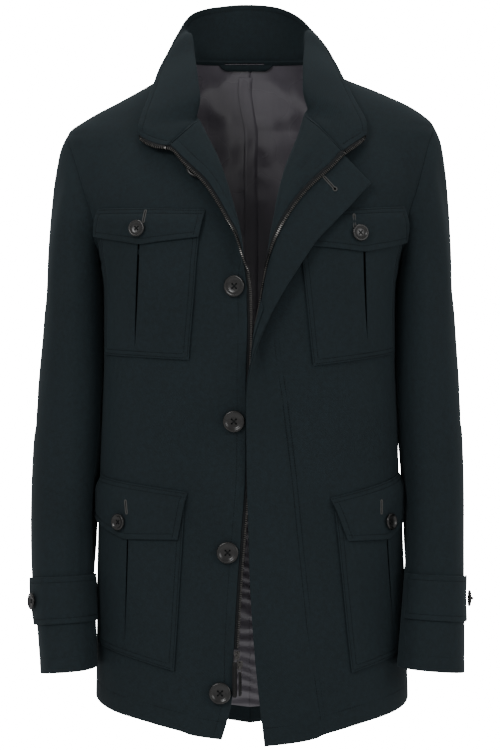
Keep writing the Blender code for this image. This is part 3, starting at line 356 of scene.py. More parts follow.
class Wall:
    """A packed cloth wall as a grid: its outer and inner points by row and column, rows running up."""

    def __init__(self, node):
        mesh = frame["nodes"][node].data
        mesh.calc_loop_triangles()
        raw = np.array([v.co for v in mesh.vertices], float) / MM
        points, index = np.unique(np.round(raw, 4), axis=0, return_inverse=True)
        index = index.ravel()
        triangles = {k: tuple(int(index[v]) for v in t.vertices)
                     for k, t in enumerate(mesh.loop_triangles)}
        lengths = {e: float(np.linalg.norm(points[e[0]] - points[e[1]]))
                   for t in triangles.values() for e in edges_of(t)}
        rounded, counts = np.unique(np.round(list(lengths.values()), 2), return_counts=True)
        self.thickness = float(rounded[np.argmax(counts)])
        across = {e for e, length in lengths.items() if abs(length - self.thickness) < EXACT}
        skin = {k: t for k, t in triangles.items() if not across & set(edges_of(t))}
        edges = by_edges(skin)
        bounds = {e for e, found in edges.items() if len(found) == 1}
        ends = [k for k, t in skin.items() if sum(e in bounds for e in edges_of(t)) == 2]
        first = min(ends, key=lambda k: points[list(skin[k]), 2].min())
        free = [e for e in edges_of(skin[first]) if e in bounds]
        corner = next(iter(set(free[0]) & set(free[1])))
        beside = [v for v in skin[first] if v != corner]
        beside.sort(key=lambda v: abs(points[v, 2] - points[corner, 2]))
        labels = {corner: (0, 1), beside[0]: (0, 0), beside[1]: (1, 1)}
        one = spread_labels(skin, edges, labels, first)
        partner = {a: b for a, b in across} | {b: a for a, b in across}
        two = {}
        rest = {k: t for k, t in skin.items() if k not in one}
        edges = by_edges(rest)
        for edge, found in edges.items():
            if len(found) > 1 or not all(partner.get(v) in labels for v in edge):
                continue
            places = [labels[partner[v]] for v in edge]
            new = next(v for v in rest[found[0]] if v not in edge)
            options = [place for place in third_corners(*places) if place in labels.values()]
            if len(options) == 1:
                two = {edge[0]: places[0], edge[1]: places[1], new: options[0]}
                spread_labels(rest, edges, two, found[0])
                break
        low = np.min(list(labels.values()), axis=0)
        shape = np.max(list(labels.values()), axis=0) - low + 1
        grids = []
        for found in (labels, two):
            grid = np.full((*shape, 3), np.nan)
            for v, place in found.items():
                grid[place[0] - low[0], place[1] - low[1]] = points[v]
            grids.append(grid)
        if len(labels) != len(two) or len(labels) + len(two) != len(points):
            raise ValueError(f"{node} isn't read back as a grid")
        self.one, self.two = grids

    def arrange(self, towards):
        """Puts the skin further along `towards` first, rows upwards and columns to the right of it."""
        if np.nansum((self.one - self.two) * towards(np.nan_to_num((self.one + self.two) / 2))) < 0:
            self.one, self.two = self.two, self.one
        if steepness(self.one, 1) > steepness(self.one, 0):
            self.one, self.two = self.one.transpose(1, 0, 2), self.two.transpose(1, 0, 2)
        if np.nansum(np.diff(self.one, axis=0)[..., 2]) < 0:
            self.one, self.two = self.one[::-1], self.two[::-1]
        turn = np.cross(np.diff(self.one, axis=1)[:-1], np.diff(self.one, axis=0)[:, :-1])
        if np.nansum(turn * (self.one - self.two)[:-1, :-1]) < 0:
            self.one, self.two = self.one[:, ::-1], self.two[:, ::-1]
        return self


def steepness(grid, axis):
    """How steeply the lines along an axis of a grid climb."""
    steps = np.diff(grid, axis=axis)
    return abs(np.nansum(steps[..., 2])) / np.nansum(np.linalg.norm(steps, axis=2))


def filled(grid):
    """A grid whose missing corner is filled by carrying on the row below it."""
    grid = grid.copy()
    rows, columns = grid.shape[:2]
    for i in range(rows):
        order = range(columns) if not np.isnan(grid[i, 0, 0]) else range(columns - 1, -1, -1)
        last = None
        for j in order:
            if np.isnan(grid[i, j, 0]):
                grid[i, j] = grid[i, last] + grid[i - 1, j] - grid[i - 1, last]
            last = j
    return grid


def stations(lengths, fine_start, fine_end, coarse=COARSE):
    """Places along a run of spans where lines of the fine mesh lie, in spans."""
    total = sum(lengths)
    places = []
    done = 0.0
    for span, length in enumerate(lengths):
        cuts = [0.0]
        while cuts[-1] < length:
            at = done + cuts[-1]
            near = (fine_start and at < EDGE_ZONE) or (fine_end and at > total - EDGE_ZONE)
            cuts.append(cuts[-1] + (FINE if near else coarse))
        cuts = np.array(cuts) * length / cuts[-1]
        places += [span + c / length for c in cuts[:-1]]
        done += length
    return np.array(places + [len(lengths)])


def slopes(points, at):
    """Slopes of a smooth curve through points, the first axis running along it."""
    step = np.diff(at)[:, None, None]
    rise = np.diff(points, axis=0) / step
    inner = (rise[:-1] * step[1:] + rise[1:] * step[:-1]) / (step[:-1] + step[1:])
    if len(points) == 2:
        return np.concatenate([rise, rise])
    return np.concatenate([(3 * rise[:1] - inner[:1]) / 2, inner, (3 * rise[-1:] - inner[-1:]) / 2])


def spline(points, lengths, places):
    """Points of a smooth surface between lines of points, at places given in spans."""
    at = np.concatenate([[0], np.cumsum(lengths)])
    slope = slopes(points, at)
    span = np.minimum(places.astype(int), len(lengths) - 1)
    t = (places - span)[:, None, None]
    size = np.asarray(lengths)[span][:, None, None]
    p, q = points[span], points[span + 1]
    return ((1 + 2 * t) * (1 - t) ** 2 * p + t * (1 - t) ** 2 * size * slope[span]
            + t**2 * (3 - 2 * t) * q + t**2 * (t - 1) * size * slope[span + 1])


def spans(grid, axis):
    """The mean distance between neighbouring lines of a grid."""
    steps = np.linalg.norm(np.diff(grid, axis=axis), axis=2)
    return list(np.nanmean(steps, axis=1 - axis))


class Cloth:
    """A wall's two skins on a fine grid, ready to be creased and made into a mesh."""

    def __init__(self, middle, normal, thickness, cells, flat):
        self.middle, self.normal, self.thickness = middle, normal, thickness
        self.cells, self.flat = cells, flat
        self.lift = np.zeros(middle.shape[:2])  # raises both skins
        self.press = np.zeros(middle.shape[:2])  # brings the skins together, as a line of stitches does
        self.lines = []

    @classmethod
    def from_node(cls, node, towards, fine_edges="", coarse=COARSE):
        wall = Wall(node).arrange(towards)
        middle = (wall.one + wall.two) / 2
        up, across = spans(middle, 0), spans(middle, 1)
        rows = stations(up, "b" in fine_edges, "t" in fine_edges, coarse)
        columns = stations(across, "l" in fine_edges, "r" in fine_edges)
        grids = []
        for grid in (middle, (wall.one - wall.two) / 2):
            lines = spline(filled(grid), up, rows).transpose(1, 0, 2)
            grids.append(spline(lines, across, columns).transpose(1, 0, 2))
        here = ~np.isnan(wall.one[..., 0])
        whole = here[:-1, :-1] & here[1:, :-1] & here[:-1, 1:] & here[1:, 1:]
        row = np.minimum(rows[:-1].astype(int), whole.shape[0] - 1)
        column = np.minimum(columns[:-1].astype(int), whole.shape[1] - 1)
        flat = [np.interp(places, range(len(lengths) + 1), np.cumsum([0] + lengths))
                for places, lengths in ((columns, across), (rows, up))]
        cells = whole[np.ix_(row, column)]
        return cls(grids[0], unit(grids[1]), wall.thickness, cells, np.stack(np.meshgrid(*flat), axis=-1))

    @classmethod
    def strip(cls, middle, normal, thickness, across, up):
        """A strip of cloth that fills its grid, with its flat places across and up."""
        cells = np.ones((len(up) - 1, len(across) - 1), bool)
        normal = np.broadcast_to(normal, middle.shape).copy()
        return cls(middle, normal, thickness, cells, np.stack(np.meshgrid(across, up), axis=-1))

    def used(self):
        """Which points of the fine grid belong to a cell."""
        rows, columns = self.middle.shape[:2]
        used = np.zeros((rows, columns), bool)
        for a, b in ((0, 0), (0, 1), (1, 0), (1, 1)):
            used[a : rows - 1 + a, b : columns - 1 + b] |= self.cells
        return used

    def quads(self, used):
        index = np.cumsum(used.ravel()).reshape(used.shape) - 1
        corners = [index[:-1, :-1], index[:-1, 1:], index[1:, 1:], index[1:, :-1]]
        return np.stack([c[self.cells] for c in corners], axis=-1).tolist()

    def tree(self, face):
        """The cloth's skin, front face 1 or back face -1, as a tree for casting rays on."""
        used = self.used()
        skin = self.middle + self.normal * (self.lift + face * self.thickness / 2)[..., None]
        return BVHTree.FromPolygons(skin[used].tolist(), self.quads(used))

    def along(self, edge, distance, start=0.0, stop=0.0, face=1):
        """A line of stitches along an edge, this far in from it and this much shorter at its ends."""
        grids = [self.middle, self.normal, self.used()]
        if edge in "bt":
            grids = [grid.swapaxes(0, 1) for grid in grids]
        if edge in "rt":
            grids = [grid[:, ::-1] for grid in grids]
        points, normals, used = grids
        found, sides = [], []
        for line, out in zip(points[used[:, 0]], normals[used[:, 0]]):
            run = run_of(line)
            j = min(int(np.searchsorted(run, distance, side="right")) - 1, len(run) - 2)
            t = (distance - run[j]) / (run[j + 1] - run[j])
            found.append(line[j] * (1 - t) + line[j + 1] * t)
            sides.append(out[j])
        self.lines.append((*resampled(np.array(found), np.array(sides), start, stop), face))

    def seen(self, pixels, face=1):
        """A line of stitches where the camera sees it, through named pixels."""
        points, _ = looked_at(self.tree(face), pixels)
        normals = self.normal_near(points)
        self.lines.append((*resampled(points - normals * face * self.thickness / 2, normals, 0, 0), face))

    def normal_near(self, points):
        used = self.used()
        return self.normal[used][nearest(self.middle[used], points)[0]]

    def size(self):
        """The panel's greatest width, length and its area before it is creased, in mm."""
        across = np.linalg.norm(np.diff(self.middle, axis=1), axis=2)
        up = np.linalg.norm(np.diff(self.middle, axis=0), axis=2)
        a = self.middle[1:, 1:] - self.middle[:-1, :-1]
        b = self.middle[1:, :-1] - self.middle[:-1, 1:]
        area = (np.linalg.norm(np.cross(a, b), axis=2) / 2 * self.cells).sum()
        return across.sum(1).max(), up.sum(0).max(), area

    def lengthen(self, reach):
        """Carries the cloth on past its top edge."""
        step = unit(self.middle[-1] - self.middle[-2]) * reach
        self.middle = np.concatenate([self.middle, self.middle[-1:] + step])
        self.normal = np.concatenate([self.normal, self.normal[-1:]])
        self.flat = np.concatenate([self.flat, self.flat[-1:] + (0, reach)])
        self.cells = np.concatenate([self.cells, self.cells[-1:]])
        self.lift, self.press = (np.concatenate([v, v[-1:]]) for v in (self.lift, self.press))

    def sink_lines(self):
        """Draws the skins together along the lines of stitches, and lays the lines on the creased cloth."""
        if not self.lines:
            return
        apart = nearest(np.concatenate([line[0] for line in self.lines]), self.middle.reshape(-1, 3))[1]
        self.press += (GROOVE * np.exp(-(apart**2) / (2 * GROOVE_WIDTH**2))).reshape(self.press.shape)
        self.lines = [(self.raised(points, normals), normals, face) for points, normals, face in self.lines]

    def raised(self, points, normals):
        """Points of the cloth's middle, moved with the creases."""
        used = self.used()
        grid, lift = self.middle[used], self.lift[used]
        near = [nearest(grid, points + shift)[0] for shift in np.vstack([np.zeros(3), np.eye(3), -np.eye(3)])]
        return points + normals * np.mean([lift[found] for found in near], axis=0)[:, None]

    def mesh(self, name, material):
        """A closed mesh with rounded edges."""
        used = self.used()
        faces = self.quads(used)
        normal, flat = self.normal[used], self.flat[used]
        middle = self.middle[used] + normal * self.lift[used][:, None]
        half = (self.thickness / 2 - self.press)[used][:, None]
        edge_points, edge_flat, strips = [], [], []
        shrunk = middle.copy()
        count = len(middle)
        begin = 2 * count
        for loop in border_loops(faces):
            edge = np.array(loop)
            along = unit(np.roll(middle[edge], -1, axis=0) - np.roll(middle[edge], 1, axis=0))
            away = unit(np.cross(along, normal[edge]))
            rim = half[edge]
            core = middle[edge] - away * (rim - SEAM_CLOSING)
            shrunk[edge] = core
            lines = [edge]
            for a in np.radians(RIM_ANGLES):
                lines.append(begin + np.arange(len(edge)))
                begin += len(edge)
                edge_points.append(core + rim * (normal[edge] * math.sin(a) + away * math.cos(a)))
                edge_flat.append(flat[edge])
            lines.append(edge + count)
            for low, high in zip(lines, lines[1:]):
                strips += np.stack([low, high, np.roll(high, -1), np.roll(low, -1)], axis=-1).tolist()
        points = np.concatenate([shrunk + normal * half, shrunk - normal * half, *edge_points])
        quads = faces + [[v + count for v in reversed(f)] for f in faces] + strips
        return make_piece(name, points, quads, material, np.concatenate([flat, flat, *edge_flat]) * MM)


def nearest(points, places):
    """For each place, the nearest point's number and how far away it is."""
    tree = KDTree(len(points))
    for k, point in enumerate(points):
        tree.insert(point, k)
    tree.balance()
    found = [tree.find(place) for place in places]
    return np.array([hit[1] for hit in found]), np.array([hit[2] for hit in found])


def border_loops(faces):
    """Runs of points round the edges of a surface, each in the faces' own turn."""
    edges = {(a, b) for quad in faces for a, b in zip(quad, quad[1:] + quad[:1])}
    after = {}
    for a, b in edges:
        if (b, a) not in edges:
            after.setdefault(a, []).append(b)
    loops = []
    while after:
        loop = [next(iter(after))]
        while True:
            ends = after[loop[-1]]
            step = ends.pop()
            if not ends:
                del after[loop[-1]]
            if step == loop[0]:
                break
            loop.append(step)
        loops.append(loop)
    return loops


def resampled(points, normals, start, stop):
    """Points every STEP along a run of points, with their normals."""
    run = run_of(points)
    places = np.arange(start, run[-1] - stop, STEP)
    return drawn(points, run, places), unit(drawn(normals, run, places))


def looked_at(tree, pixels):
    """Where the camera's rays through pixels meet a surface, and the surface's normals there."""
    points, normals = [], []
    for pixel in pixels:
        place, normal, _, _ = tree.ray_cast(Vector(CAMERA_PLACE), sight(*pixel))
        if place is not None:
            points.append(place)
            normals.append(normal)
    if len(points) < 2:
        raise ValueError(f"the camera doesn't see the cloth at {pixels}")
    return np.array(points), np.array(normals)


# --- Stitches ------------------------------------------------------------------------------------
STEP = 1.0
GROOVE, GROOVE_WIDTH = 0.42, 1.15
STITCH_PITCH, STITCH_LENGTH, STITCH_RADIUS = 3.3, 2.5, 0.26
STITCH_SIDES = 5
STITCH_RISE, STITCH_SHOULDER = 0.55, 0.32  # shares of its radius and length


def round_turns(sides):
    return np.linspace(0, 2 * np.pi, sides + 1)[:-1]


def ring_faces(rings, sides, closed=False):
    """Quads between neighbouring rings of points, and from the last to the first where they close."""
    faces = []
    for k in range(rings if closed else rings - 1):
        a, b = k * sides, (k + 1) % rings * sides
        faces += [[a + n, a + (n + 1) % sides, b + (n + 1) % sides, b + n] for n in range(sides)]
    return faces


def make_stitches(name, lines, half, material):
    """Short lengths of thread along lines on a wall, lying in the grooves that they draw."""
    points, faces = [], []
    step = int(round(STITCH_PITCH / STEP))
    for line, normals, face in lines:
        if len(line) < 2 * step:
            continue
        for k in range(1, len(line) - step, step):
            tangent = unit(line[min(k + step, len(line) - 1)] - line[k])
            normal = normals[k] * face
            side = np.cross(tangent, normal)
            rise = half - GROOVE + STITCH_RADIUS * STITCH_RISE
            middle = line[k] + tangent * STITCH_PITCH / 2 + normal * rise
            tip = tangent * STITCH_LENGTH / 2
            begin = len(points)
            points.append(middle - tip - normal * STITCH_RADIUS)
            for along in (-STITCH_SHOULDER, STITCH_SHOULDER):
                for turn in round_turns(STITCH_SIDES):
                    ring = side * math.cos(turn) + normal * math.sin(turn)
                    points.append(middle + tangent * STITCH_LENGTH * along + ring * STITCH_RADIUS)
            points.append(middle + tip - normal * STITCH_RADIUS)
            for n in range(STITCH_SIDES):
                a, b = begin + 1 + n, begin + 1 + (n + 1) % STITCH_SIDES
                faces += [[begin, a, b], [a, a + STITCH_SIDES, b + STITCH_SIDES, b],
                          [b + STITCH_SIDES, a + STITCH_SIDES, begin + 1 + 2 * STITCH_SIDES]]
    return make_piece(name, points, faces, material)


def closed_tube(route, normal, radii, sides, flatness=1.0):
    """Points and faces of a closed tube along a route that lies square to a normal."""
    tangent = unit(np.roll(route, -1, axis=0) - np.roll(route, 1, axis=0))
    across = np.cross(tangent, normal)
    radii = np.broadcast_to(radii, len(route))[:, None]
    rings = [route + (across * math.cos(turn) * flatness + np.asarray(normal) * math.sin(turn)) * radii
             for turn in round_turns(sides)]
    return np.stack(rings, axis=1).reshape(-1, 3), ring_faces(len(route), sides, closed=True)


def placed(name, data):
    """An object of a mesh, in the scene."""
    piece = bpy.data.objects.new(name, data)
    bpy.context.scene.collection.objects.link(piece)
    return piece


def make_piece(name, points, faces, material, uv=None, smooth=True):
    """An object from points in millimetres."""
    data = bpy.data.meshes.new(name)
    data.from_pydata((np.asarray(points) * MM).tolist(), [], faces)
    data.materials.append(material)
    if uv is not None:
        layer = data.uv_layers.new(name="UVMap")
        corner = np.empty(len(data.loops), np.int32)
        data.loops.foreach_get("vertex_index", corner)
        layer.data.foreach_set("uv", uv[corner].astype(np.float32).ravel())
    if smooth:
        data.shade_smooth()
    data.update()
    return placed(name, data)


# --- Directions that point out of each kind of wall ------------------------------------------------
def from_body(points):
    """Away from the body's upright axis."""
    return unit(points * (1, 1, 0))


def to_front(points):
    return np.broadcast_to((0.0, -1.0, 0.0), points.shape)


def from_sleeve(points):
    """Away from the middle of each row's chord, as a sleeve's half bulges."""
    return unit(points - (points[:, :1] + points[:, -1:]) / 2)


# --- The cloth pieces --------------------------------------------------------------------------------
HEM_STITCH = 21.0
CUFF_STITCH = 18.0
EDGE_STITCH = 6.5
SEAM_STITCH = 1.8
ZIP_STITCH = 10.5
RIPPLED = 2.4  # the lining's rows, close enough for its ripples
SLEEVE_TUCK = 2.3  # the sleeves' tops run on into the armholes' seams

cloths, materials, cuts = {}, {}, {}


def lay(node, towards, fine_edges, material, coarse=COARSE):
    return keep(node, Cloth.from_node(node, towards, fine_edges, coarse), material)


def keep(node, cloth, material):
    cloths[node], materials[node], cuts[node] = cloth, material, cloth.size()
    return cloth


def lay_body():
    for side in SIDES:
        free = "r" if side == "right" else "l"
        front = lay(f"front_{side}", from_body, "lrb", WOOL)
        front.along("b", HEM_STITCH)
        back = lay(f"back_{side}", from_body, "lrb", WOOL)
        back.along("b", HEM_STITCH)
        back.along(free, SEAM_STITCH * 3, HEM_STITCH)
        facing = lay(f"facing_{side}", from_body, "lr", WOOL)
        if side == "right":
            front.along(free, ZIP_STITCH)
            facing.along(free, ZIP_STITCH, face=-1)
        lay(f"lining_back_{side}", from_body, "", SATIN, RIPPLED)
    lay("fly_lining_left", from_body, "l", WOOL)
    lay("fly_band_left", from_body, "lr", WOOL)
    lay("hanger_patch", from_body, "", WOOL)
    for node, face in (("collar_outer", -1), ("collar_inner", 1)):
        collar = lay(node, from_body, "lrbt", WOOL)
        for edge in "lrt":
            collar.along(edge, EDGE_STITCH, EDGE_STITCH, EDGE_STITCH, face)


def lay_sleeves():
    for side in SIDES:
        for half in ("top", "under"):
            sleeve = lay(f"sleeve_{side}_{half}", from_sleeve, "lrb", WOOL)
            sleeve.along("b", CUFF_STITCH)
            sleeve.lengthen(SLEEVE_TUCK)
        strap = lay(f"cuff_strap_{side}", from_body, "lrbt", WOOL)
        for edge in "lrbt":
            strap.along(edge, EDGE_STITCH, EDGE_STITCH, EDGE_STITCH)


def lay_pockets():
    for side in SIDES:
        for place in ("chest", "lower"):
            pocket = lay(f"{place}_pocket_{side}", to_front, "lrb", WOOL)
            for edge in "lrb":
                for inset in (SEAM_STITCH, EDGE_STITCH):
                    pocket.along(edge, inset, inset, inset)
            flap = lay(f"{place}_flap_{side}", to_front, "lrbt", WOOL)
            flap.along("t", SEAM_STITCH)
            for edge in "lrb":
                flap.along(edge, EDGE_STITCH, SEAM_STITCH, EDGE_STITCH)
            flap.along("t", EDGE_STITCH)


FLY_LINE = [(273.5, 331), (275.4, 350), (278.3, 373), (282.6, 400), (292, 480), (298.8, 549), (307.4, 631),
            (316, 687), (321, 722)]
FLY_LINE_APART = 4.7
FACING_FOLDS = [  # the folded edges beside the zip
    [(324, 142), (305, 163), (290, 183), (279, 203), (273, 222)],
    [(334, 149), (318, 166), (302, 186), (288, 206), (278, 226)],
]
FLY_STRIP = [(255, 323), (279, 272.5), (272.5, 267.5), (250, 315)]

PLEAT_SHARE = 0.53  # of the pocket's width, from its inner edge
PLEATS = {  # shares of the pocket's height down, where the slit opens and closes, and how wide it gapes
    "chest_pocket_right": (0.060, 0.93, 3.4),
    "chest_pocket_left": (0.060, 0.86, 3.4),
    "lower_pocket_right": (0.024, 0.90, 3.0),
    "lower_pocket_left": (0.024, 0.86, 3.0),
}
PLEAT_LIP, PLEAT_ROLL = 0.9, 5.0  # how far a pleat's edges stand up, over this width
PLEAT_DRIFT = 12.0  # how far to each side the slit's smoothing carries
PLEAT_SHUT, PLEAT_OPEN = 0.25, 0.35  # the least gape, and the one from which the slit is cut out
UNDERLAY, UNDERLAY_THICKNESS = 1.25, 0.4  # the pleat's underside, real cloth coloured with painted shade: its depth and thickness


def open_pleat(node, side):
    """Opens the box pleat at the pocket's middle and puts its underside, in painted shade, behind the slit.
    """
    pocket = cloths[node]
    top, bottom, gape = PLEATS[node]
    share = PLEAT_SHARE if side == "left" else 1 - PLEAT_SHARE
    run = pocket.flat[0, :, 0]
    column = int(np.argmin(np.abs(run - share * run[-1])))
    away = np.abs(run - (run[column] + run[column + 1]) / 2)
    down = 1 - pocket.flat[:, 0, 1] / pocket.flat[-1, 0, 1]
    t = np.clip((down - top) / (bottom - top), 0, 1)
    width = gape * np.clip(np.sin(math.pi * t**0.75), 0, 1) ** 0.6
    rough = (pocket.middle[:, column + 1] + pocket.middle[:, column]) / 2
    centre = np.stack([np.polyval(np.polyfit(down, rough[:, k], 2), down) for k in range(3)], axis=-1)
    carried = np.exp(-((away / PLEAT_DRIFT) ** 2)) * (away < 3 * PLEAT_DRIFT)
    pocket.middle += (centre - rough)[:, None] * carried[None, :, None]
    across = unit(pocket.middle[:, column + 1] - pocket.middle[:, column])
    normal = pocket.normal[:, column]
    pocket.lift += PLEAT_LIP * (width / gape)[:, None] * np.exp(-((away / PLEAT_ROLL) ** 2))[None, :]
    for k, sign in ((column, -1), (column + 1, 1)):
        pocket.middle[:, k] = centre + across * sign * np.maximum(width, PLEAT_SHUT)[:, None] / 2
    pocket.cells[:, column] &= (width[:-1] + width[1:]) / 2 < PLEAT_OPEN
    inside = np.stack([centre + across * shift for shift in (-gape, 0, gape)], axis=1)
    inside -= normal[:, None] * UNDERLAY
    pick = (t > 0) & (t < 1)
    # the underside is a strip of cloth in the near-black painted shade colour, darker than the wool
    strip = Cloth.strip(inside[pick], normal[pick][:, None], UNDERLAY_THICKNESS, [0, gape, 2 * gape],
                        pocket.flat[pick, 0, 1])
    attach(strip.mesh(node + "_pleat", GAP_SHADE), BODY)


RIPPLE_TOP, RIPPLE_FULL = -430.0, -600.0
RIPPLE, RIPPLE_SPACING = 0.75, 2.3
SLACK, BLOT, LOW_SLACK = 0.8, 1.5, 0.5  # heights of the upright folds and wide swells above, and folds below
CALM_TOP, CALM_DEPTH = -8.0, 40.0  # where the lining lies still below the collar
NECK_TUCK = 6.0  # the lining's top runs on under the collar's edge


def wave(points, long, phase=0.0):
    """A slow wander between -1 and 1, of roughly this length, over points."""
    x, z = points[..., 0] / long, points[..., 2] / long
    over = np.sin(6.1 * x + 2.3 * np.sin(3.9 * z + phase) + phase)
    return (over + np.sin(5.3 * z + 1.7 * np.sin(4.4 * x - phase))) / 2


def ruffle_lining(cloth):
    """The satin hangs in slack upright folds above and fine level ripples below."""
    points = cloth.middle
    x, z = points[..., 0], points[..., 2]
    low = np.clip((RIPPLE_TOP - z) / (RIPPLE_TOP - RIPPLE_FULL), 0, 1)
    edge = np.clip((CALM_TOP - z) / CALM_DEPTH, 0, 1)
    slack = 1 + np.sin(x / 11 + 1.6 * np.sin(z / 95) + 0.8 * wave(points, 240))
    blot = 1 + wave(points, 150, 1.3)
    drift = 3 * np.sin(x / 21 + 1.1) + 1.5 * np.sin(x / 9.0)
    ripple = 1 + np.sin((z + drift) / RIPPLE_SPACING + 2.4 * wave(points, 90, 0.4))
    below = LOW_SLACK * slack + RIPPLE * ripple * (1 + 0.5 * wave(points, 60))
    cloth.lift -= edge * ((1 - low) * (SLACK * slack + BLOT * blot) + low * below)


# By cloths and view: each crease's width and height in mm, then its places, two numbers each. In front
# those are pixels across and down, and elsewhere mm across and up.
CREASES = {
    ("sleeve_right", "front"): [  # gathers above and below the cuff strap, and long soft hollows
        (5, -1.5, 62, 524, 60, 552, 59, 578), (4, -1.2, 73, 536, 72, 560, 71, 576),
        (4.5, -1.3, 84, 528, 83, 553, 82, 573), (4, 0.8, 67, 532, 66, 556, 65, 577),
        (5, -1.1, 48, 627, 50, 645, 54, 660), (4, -0.8, 58, 628, 60, 643),
        (15, -2.2, 60, 250, 54, 330, 52, 420, 56, 490), (11, 1.2, 84, 300, 78, 380, 74, 460),
        (9, -1.6, 84, 232, 70, 262, 58, 282)
    ],
    ("sleeve_left", "front"): [
        (4, -1.4, 430, 548, 430, 564, 429, 579), (5, -1.1, 441, 540, 442, 562, 441, 578),
        (5, -1.0, 452, 628, 450, 645, 446, 660), (15, -2.2, 438, 250, 444, 330, 446, 420, 441, 500),
        (11, 1.2, 416, 300, 420, 380, 424, 470), (9, -1.6, 414, 228, 428, 256, 441, 276)
    ],
    ("body", "front"): [  # the fronts
        (9, -1.6, 233, 325, 230, 370, 233, 415), (18, -2.6, 215, 440, 205, 520, 203, 600, 206, 700),
        (18, 2.2, 268, 400, 278, 500, 284, 600, 292, 715),
        (16, -2.4, 318, 380, 326, 460, 330, 560, 342, 690), (20, -2.0, 150, 370, 146, 420, 152, 470),
        (20, -2.0, 352, 372, 356, 420, 350, 468), (12, -1.6, 110, 150, 98, 180, 96, 205),
        (12, -1.6, 392, 142, 404, 172, 407, 200), (10, -0.9, 128, 400, 160, 408, 196, 398),
        (10, -0.9, 290, 412, 330, 420, 366, 408)
    ],
    ("body", "back"): [  # across the blades, into the waist and down the skirt
        (14, -2.0, -150, -150, -128, -200, -112, -262), (14, -2.0, 152, -146, 130, -204, 116, -258),
        (22, 2.4, -96, -360, -84, -450, -92, -560, -104, -700),
        (22, 2.4, 92, -350, 80, -456, 90, -570, 100, -716), (18, -2.2, -40, -420, -36, -540, -44, -700),
        (18, -2.2, 44, -430, 38, -560, 40, -710), (9, -1.2, -120, -425, -70, -436, -20, -428),
        (9, -1.2, 18, -446, 66, -440, 122, -452), (12, -1.0, -110, -72, -60, -86, -14, -80),
        (12, -1.0, 20, -86, 64, -92, 116, -74)
    ],
    # the outer and rear sides of the sleeves
    ("sleeve_right", "back"): [(14, -2.0, -196, -250, -204, -330, -206, -420)],
    ("sleeve_left", "back"): [(14, -2.0, 196, -246, 204, -336, 206, -430)],
    ("sleeve_right", "right"): [
        (8, -1.8, 36, -392, 20, -410, 2, -404), (7, -1.4, 34, -418, 16, -436, -6, -426),
        (13, -1.6, -20, -150, -6, -200, -2, -270)
    ],
    ("sleeve_left", "left"): [
        (8, -1.8, 36, -386, 20, -402, 2, -398), (7, -1.4, 34, -414, 18, -430, -8, -420),
        (13, -1.6, -20, -140, -8, -196, -4, -262)
    ],
    ("lining", "front"): [  # puckers beside the ease pleat
        (7, -1.1, 248, 98, 258, 101, 272, 99), (7, -0.8, 250, 110, 260, 112, 276, 106),
        (6, -1.3, 250, 124, 260, 128, 272, 126), (8, -1.4, 249, 141, 258, 146, 268, 150),
        (6, -1.0, 248, 158, 258, 162, 266, 161), (7, -1.3, 247, 172, 256, 176, 262, 178),
        (6, -1.2, 247, 190, 254, 196, 258, 200), (8, -1.1, 212, 76, 214, 92, 211, 108),
        (7, -1.0, 234, 88, 231, 108, 234, 134), (9, -1.2, 219, 112, 227, 134, 231, 160),
        (9, -1.3, 286, 80, 290, 94, 291, 112), (7, -1.2, 292, 118, 296, 128, 297, 140)
    ],
}
VIEWS = {"back": (0, 1, 1), "right": (1, 0, -1), "left": (1, 0, 1)}  # axis across, axis in depth, its side
FAR = 900.0  # where rays start
CREASE_REACH = 300.0  # how far from its middle a crease is looked for


def family(node):
    return node[: node.index("_", 7)] if node.startswith("sleeve") else "body"


def crease_course(targets, view, course):
    """A crease's points on the cloths that it lies on."""
    found = []
    for a, b in course:
        if view == "front":
            place, way = Vector(CAMERA_PLACE), sight(a, b)
        else:
            across, deep, sign = VIEWS[view]
            place, way = Vector((0, 0, b)), Vector((0, 0, 0))
            place[across], place[deep], way[deep] = a, FAR * sign, -sign
        hits = [tree.ray_cast(place, way) for tree in targets]
        hits = [(hit[3], hit[0]) for hit in hits if hit[0] is not None]
        if hits:
            found.append(np.array(min(hits, key=lambda hit: hit[0])[1]))
    return np.array(found)


def apart_from(points, course):
    """Distance of each point from a run of straight pieces."""
    best = np.full(len(points), np.inf)
    for a, b in zip(course, course[1:]):
        long = b - a
        t = np.clip((points - a) @ long / (long @ long), 0, 1)
        best = np.minimum(best, np.linalg.norm(points - a - t[:, None] * long, axis=1))
    return best


def crease_cloths():
    members = {}
    for node, cloth in cloths.items():
        if not node.startswith("cuff_strap"):
            members.setdefault(family(node), []).append(cloth)
    trees = {name: [c.tree(1) for c in group] for name, group in members.items() if name != "body"}
    trees["body"] = [cloths[f"{panel}_{side}"].tree(1) for panel in ("front", "back") for side in SIDES]
    members["lining"] = [cloths[n] for n in ("lining_back_right", "lining_back_left", "lining_pleat")]
    trees["lining"] = [c.tree(-1) for c in members["lining"]]
    for (name, view), rows in CREASES.items():
        for width, height, *numbers in rows:
            line = crease_course(trees[name], view, list(zip(numbers[::2], numbers[1::2])))
            for cloth in members[name]:
                near = np.linalg.norm(cloth.middle - line.mean(0), axis=2) < CREASE_REACH
                apart = apart_from(cloth.middle[near], line)
                cloth.lift[near] += height * np.exp(-(apart**2) / (2 * width**2))


LINING_FOLD = [(240.8, 72), (237.6, 92), (240.8, 112), (245, 134), (244, 159), (244, 191), (245, 223),
               (244.6, 440)]
FOLD_WIDTH, FOLD_LIFT, FOLD_THICKNESS = 16.0, (1.9, 1.5, 1.2, 0.9, 0.5), 0.5
FOLD_STEP = 6.0
BACK_DEPTH = 110.0  # y of the lining's middle, to place the pleat by its pixels
INSIDE = -40.0  # y from which the lining is looked for


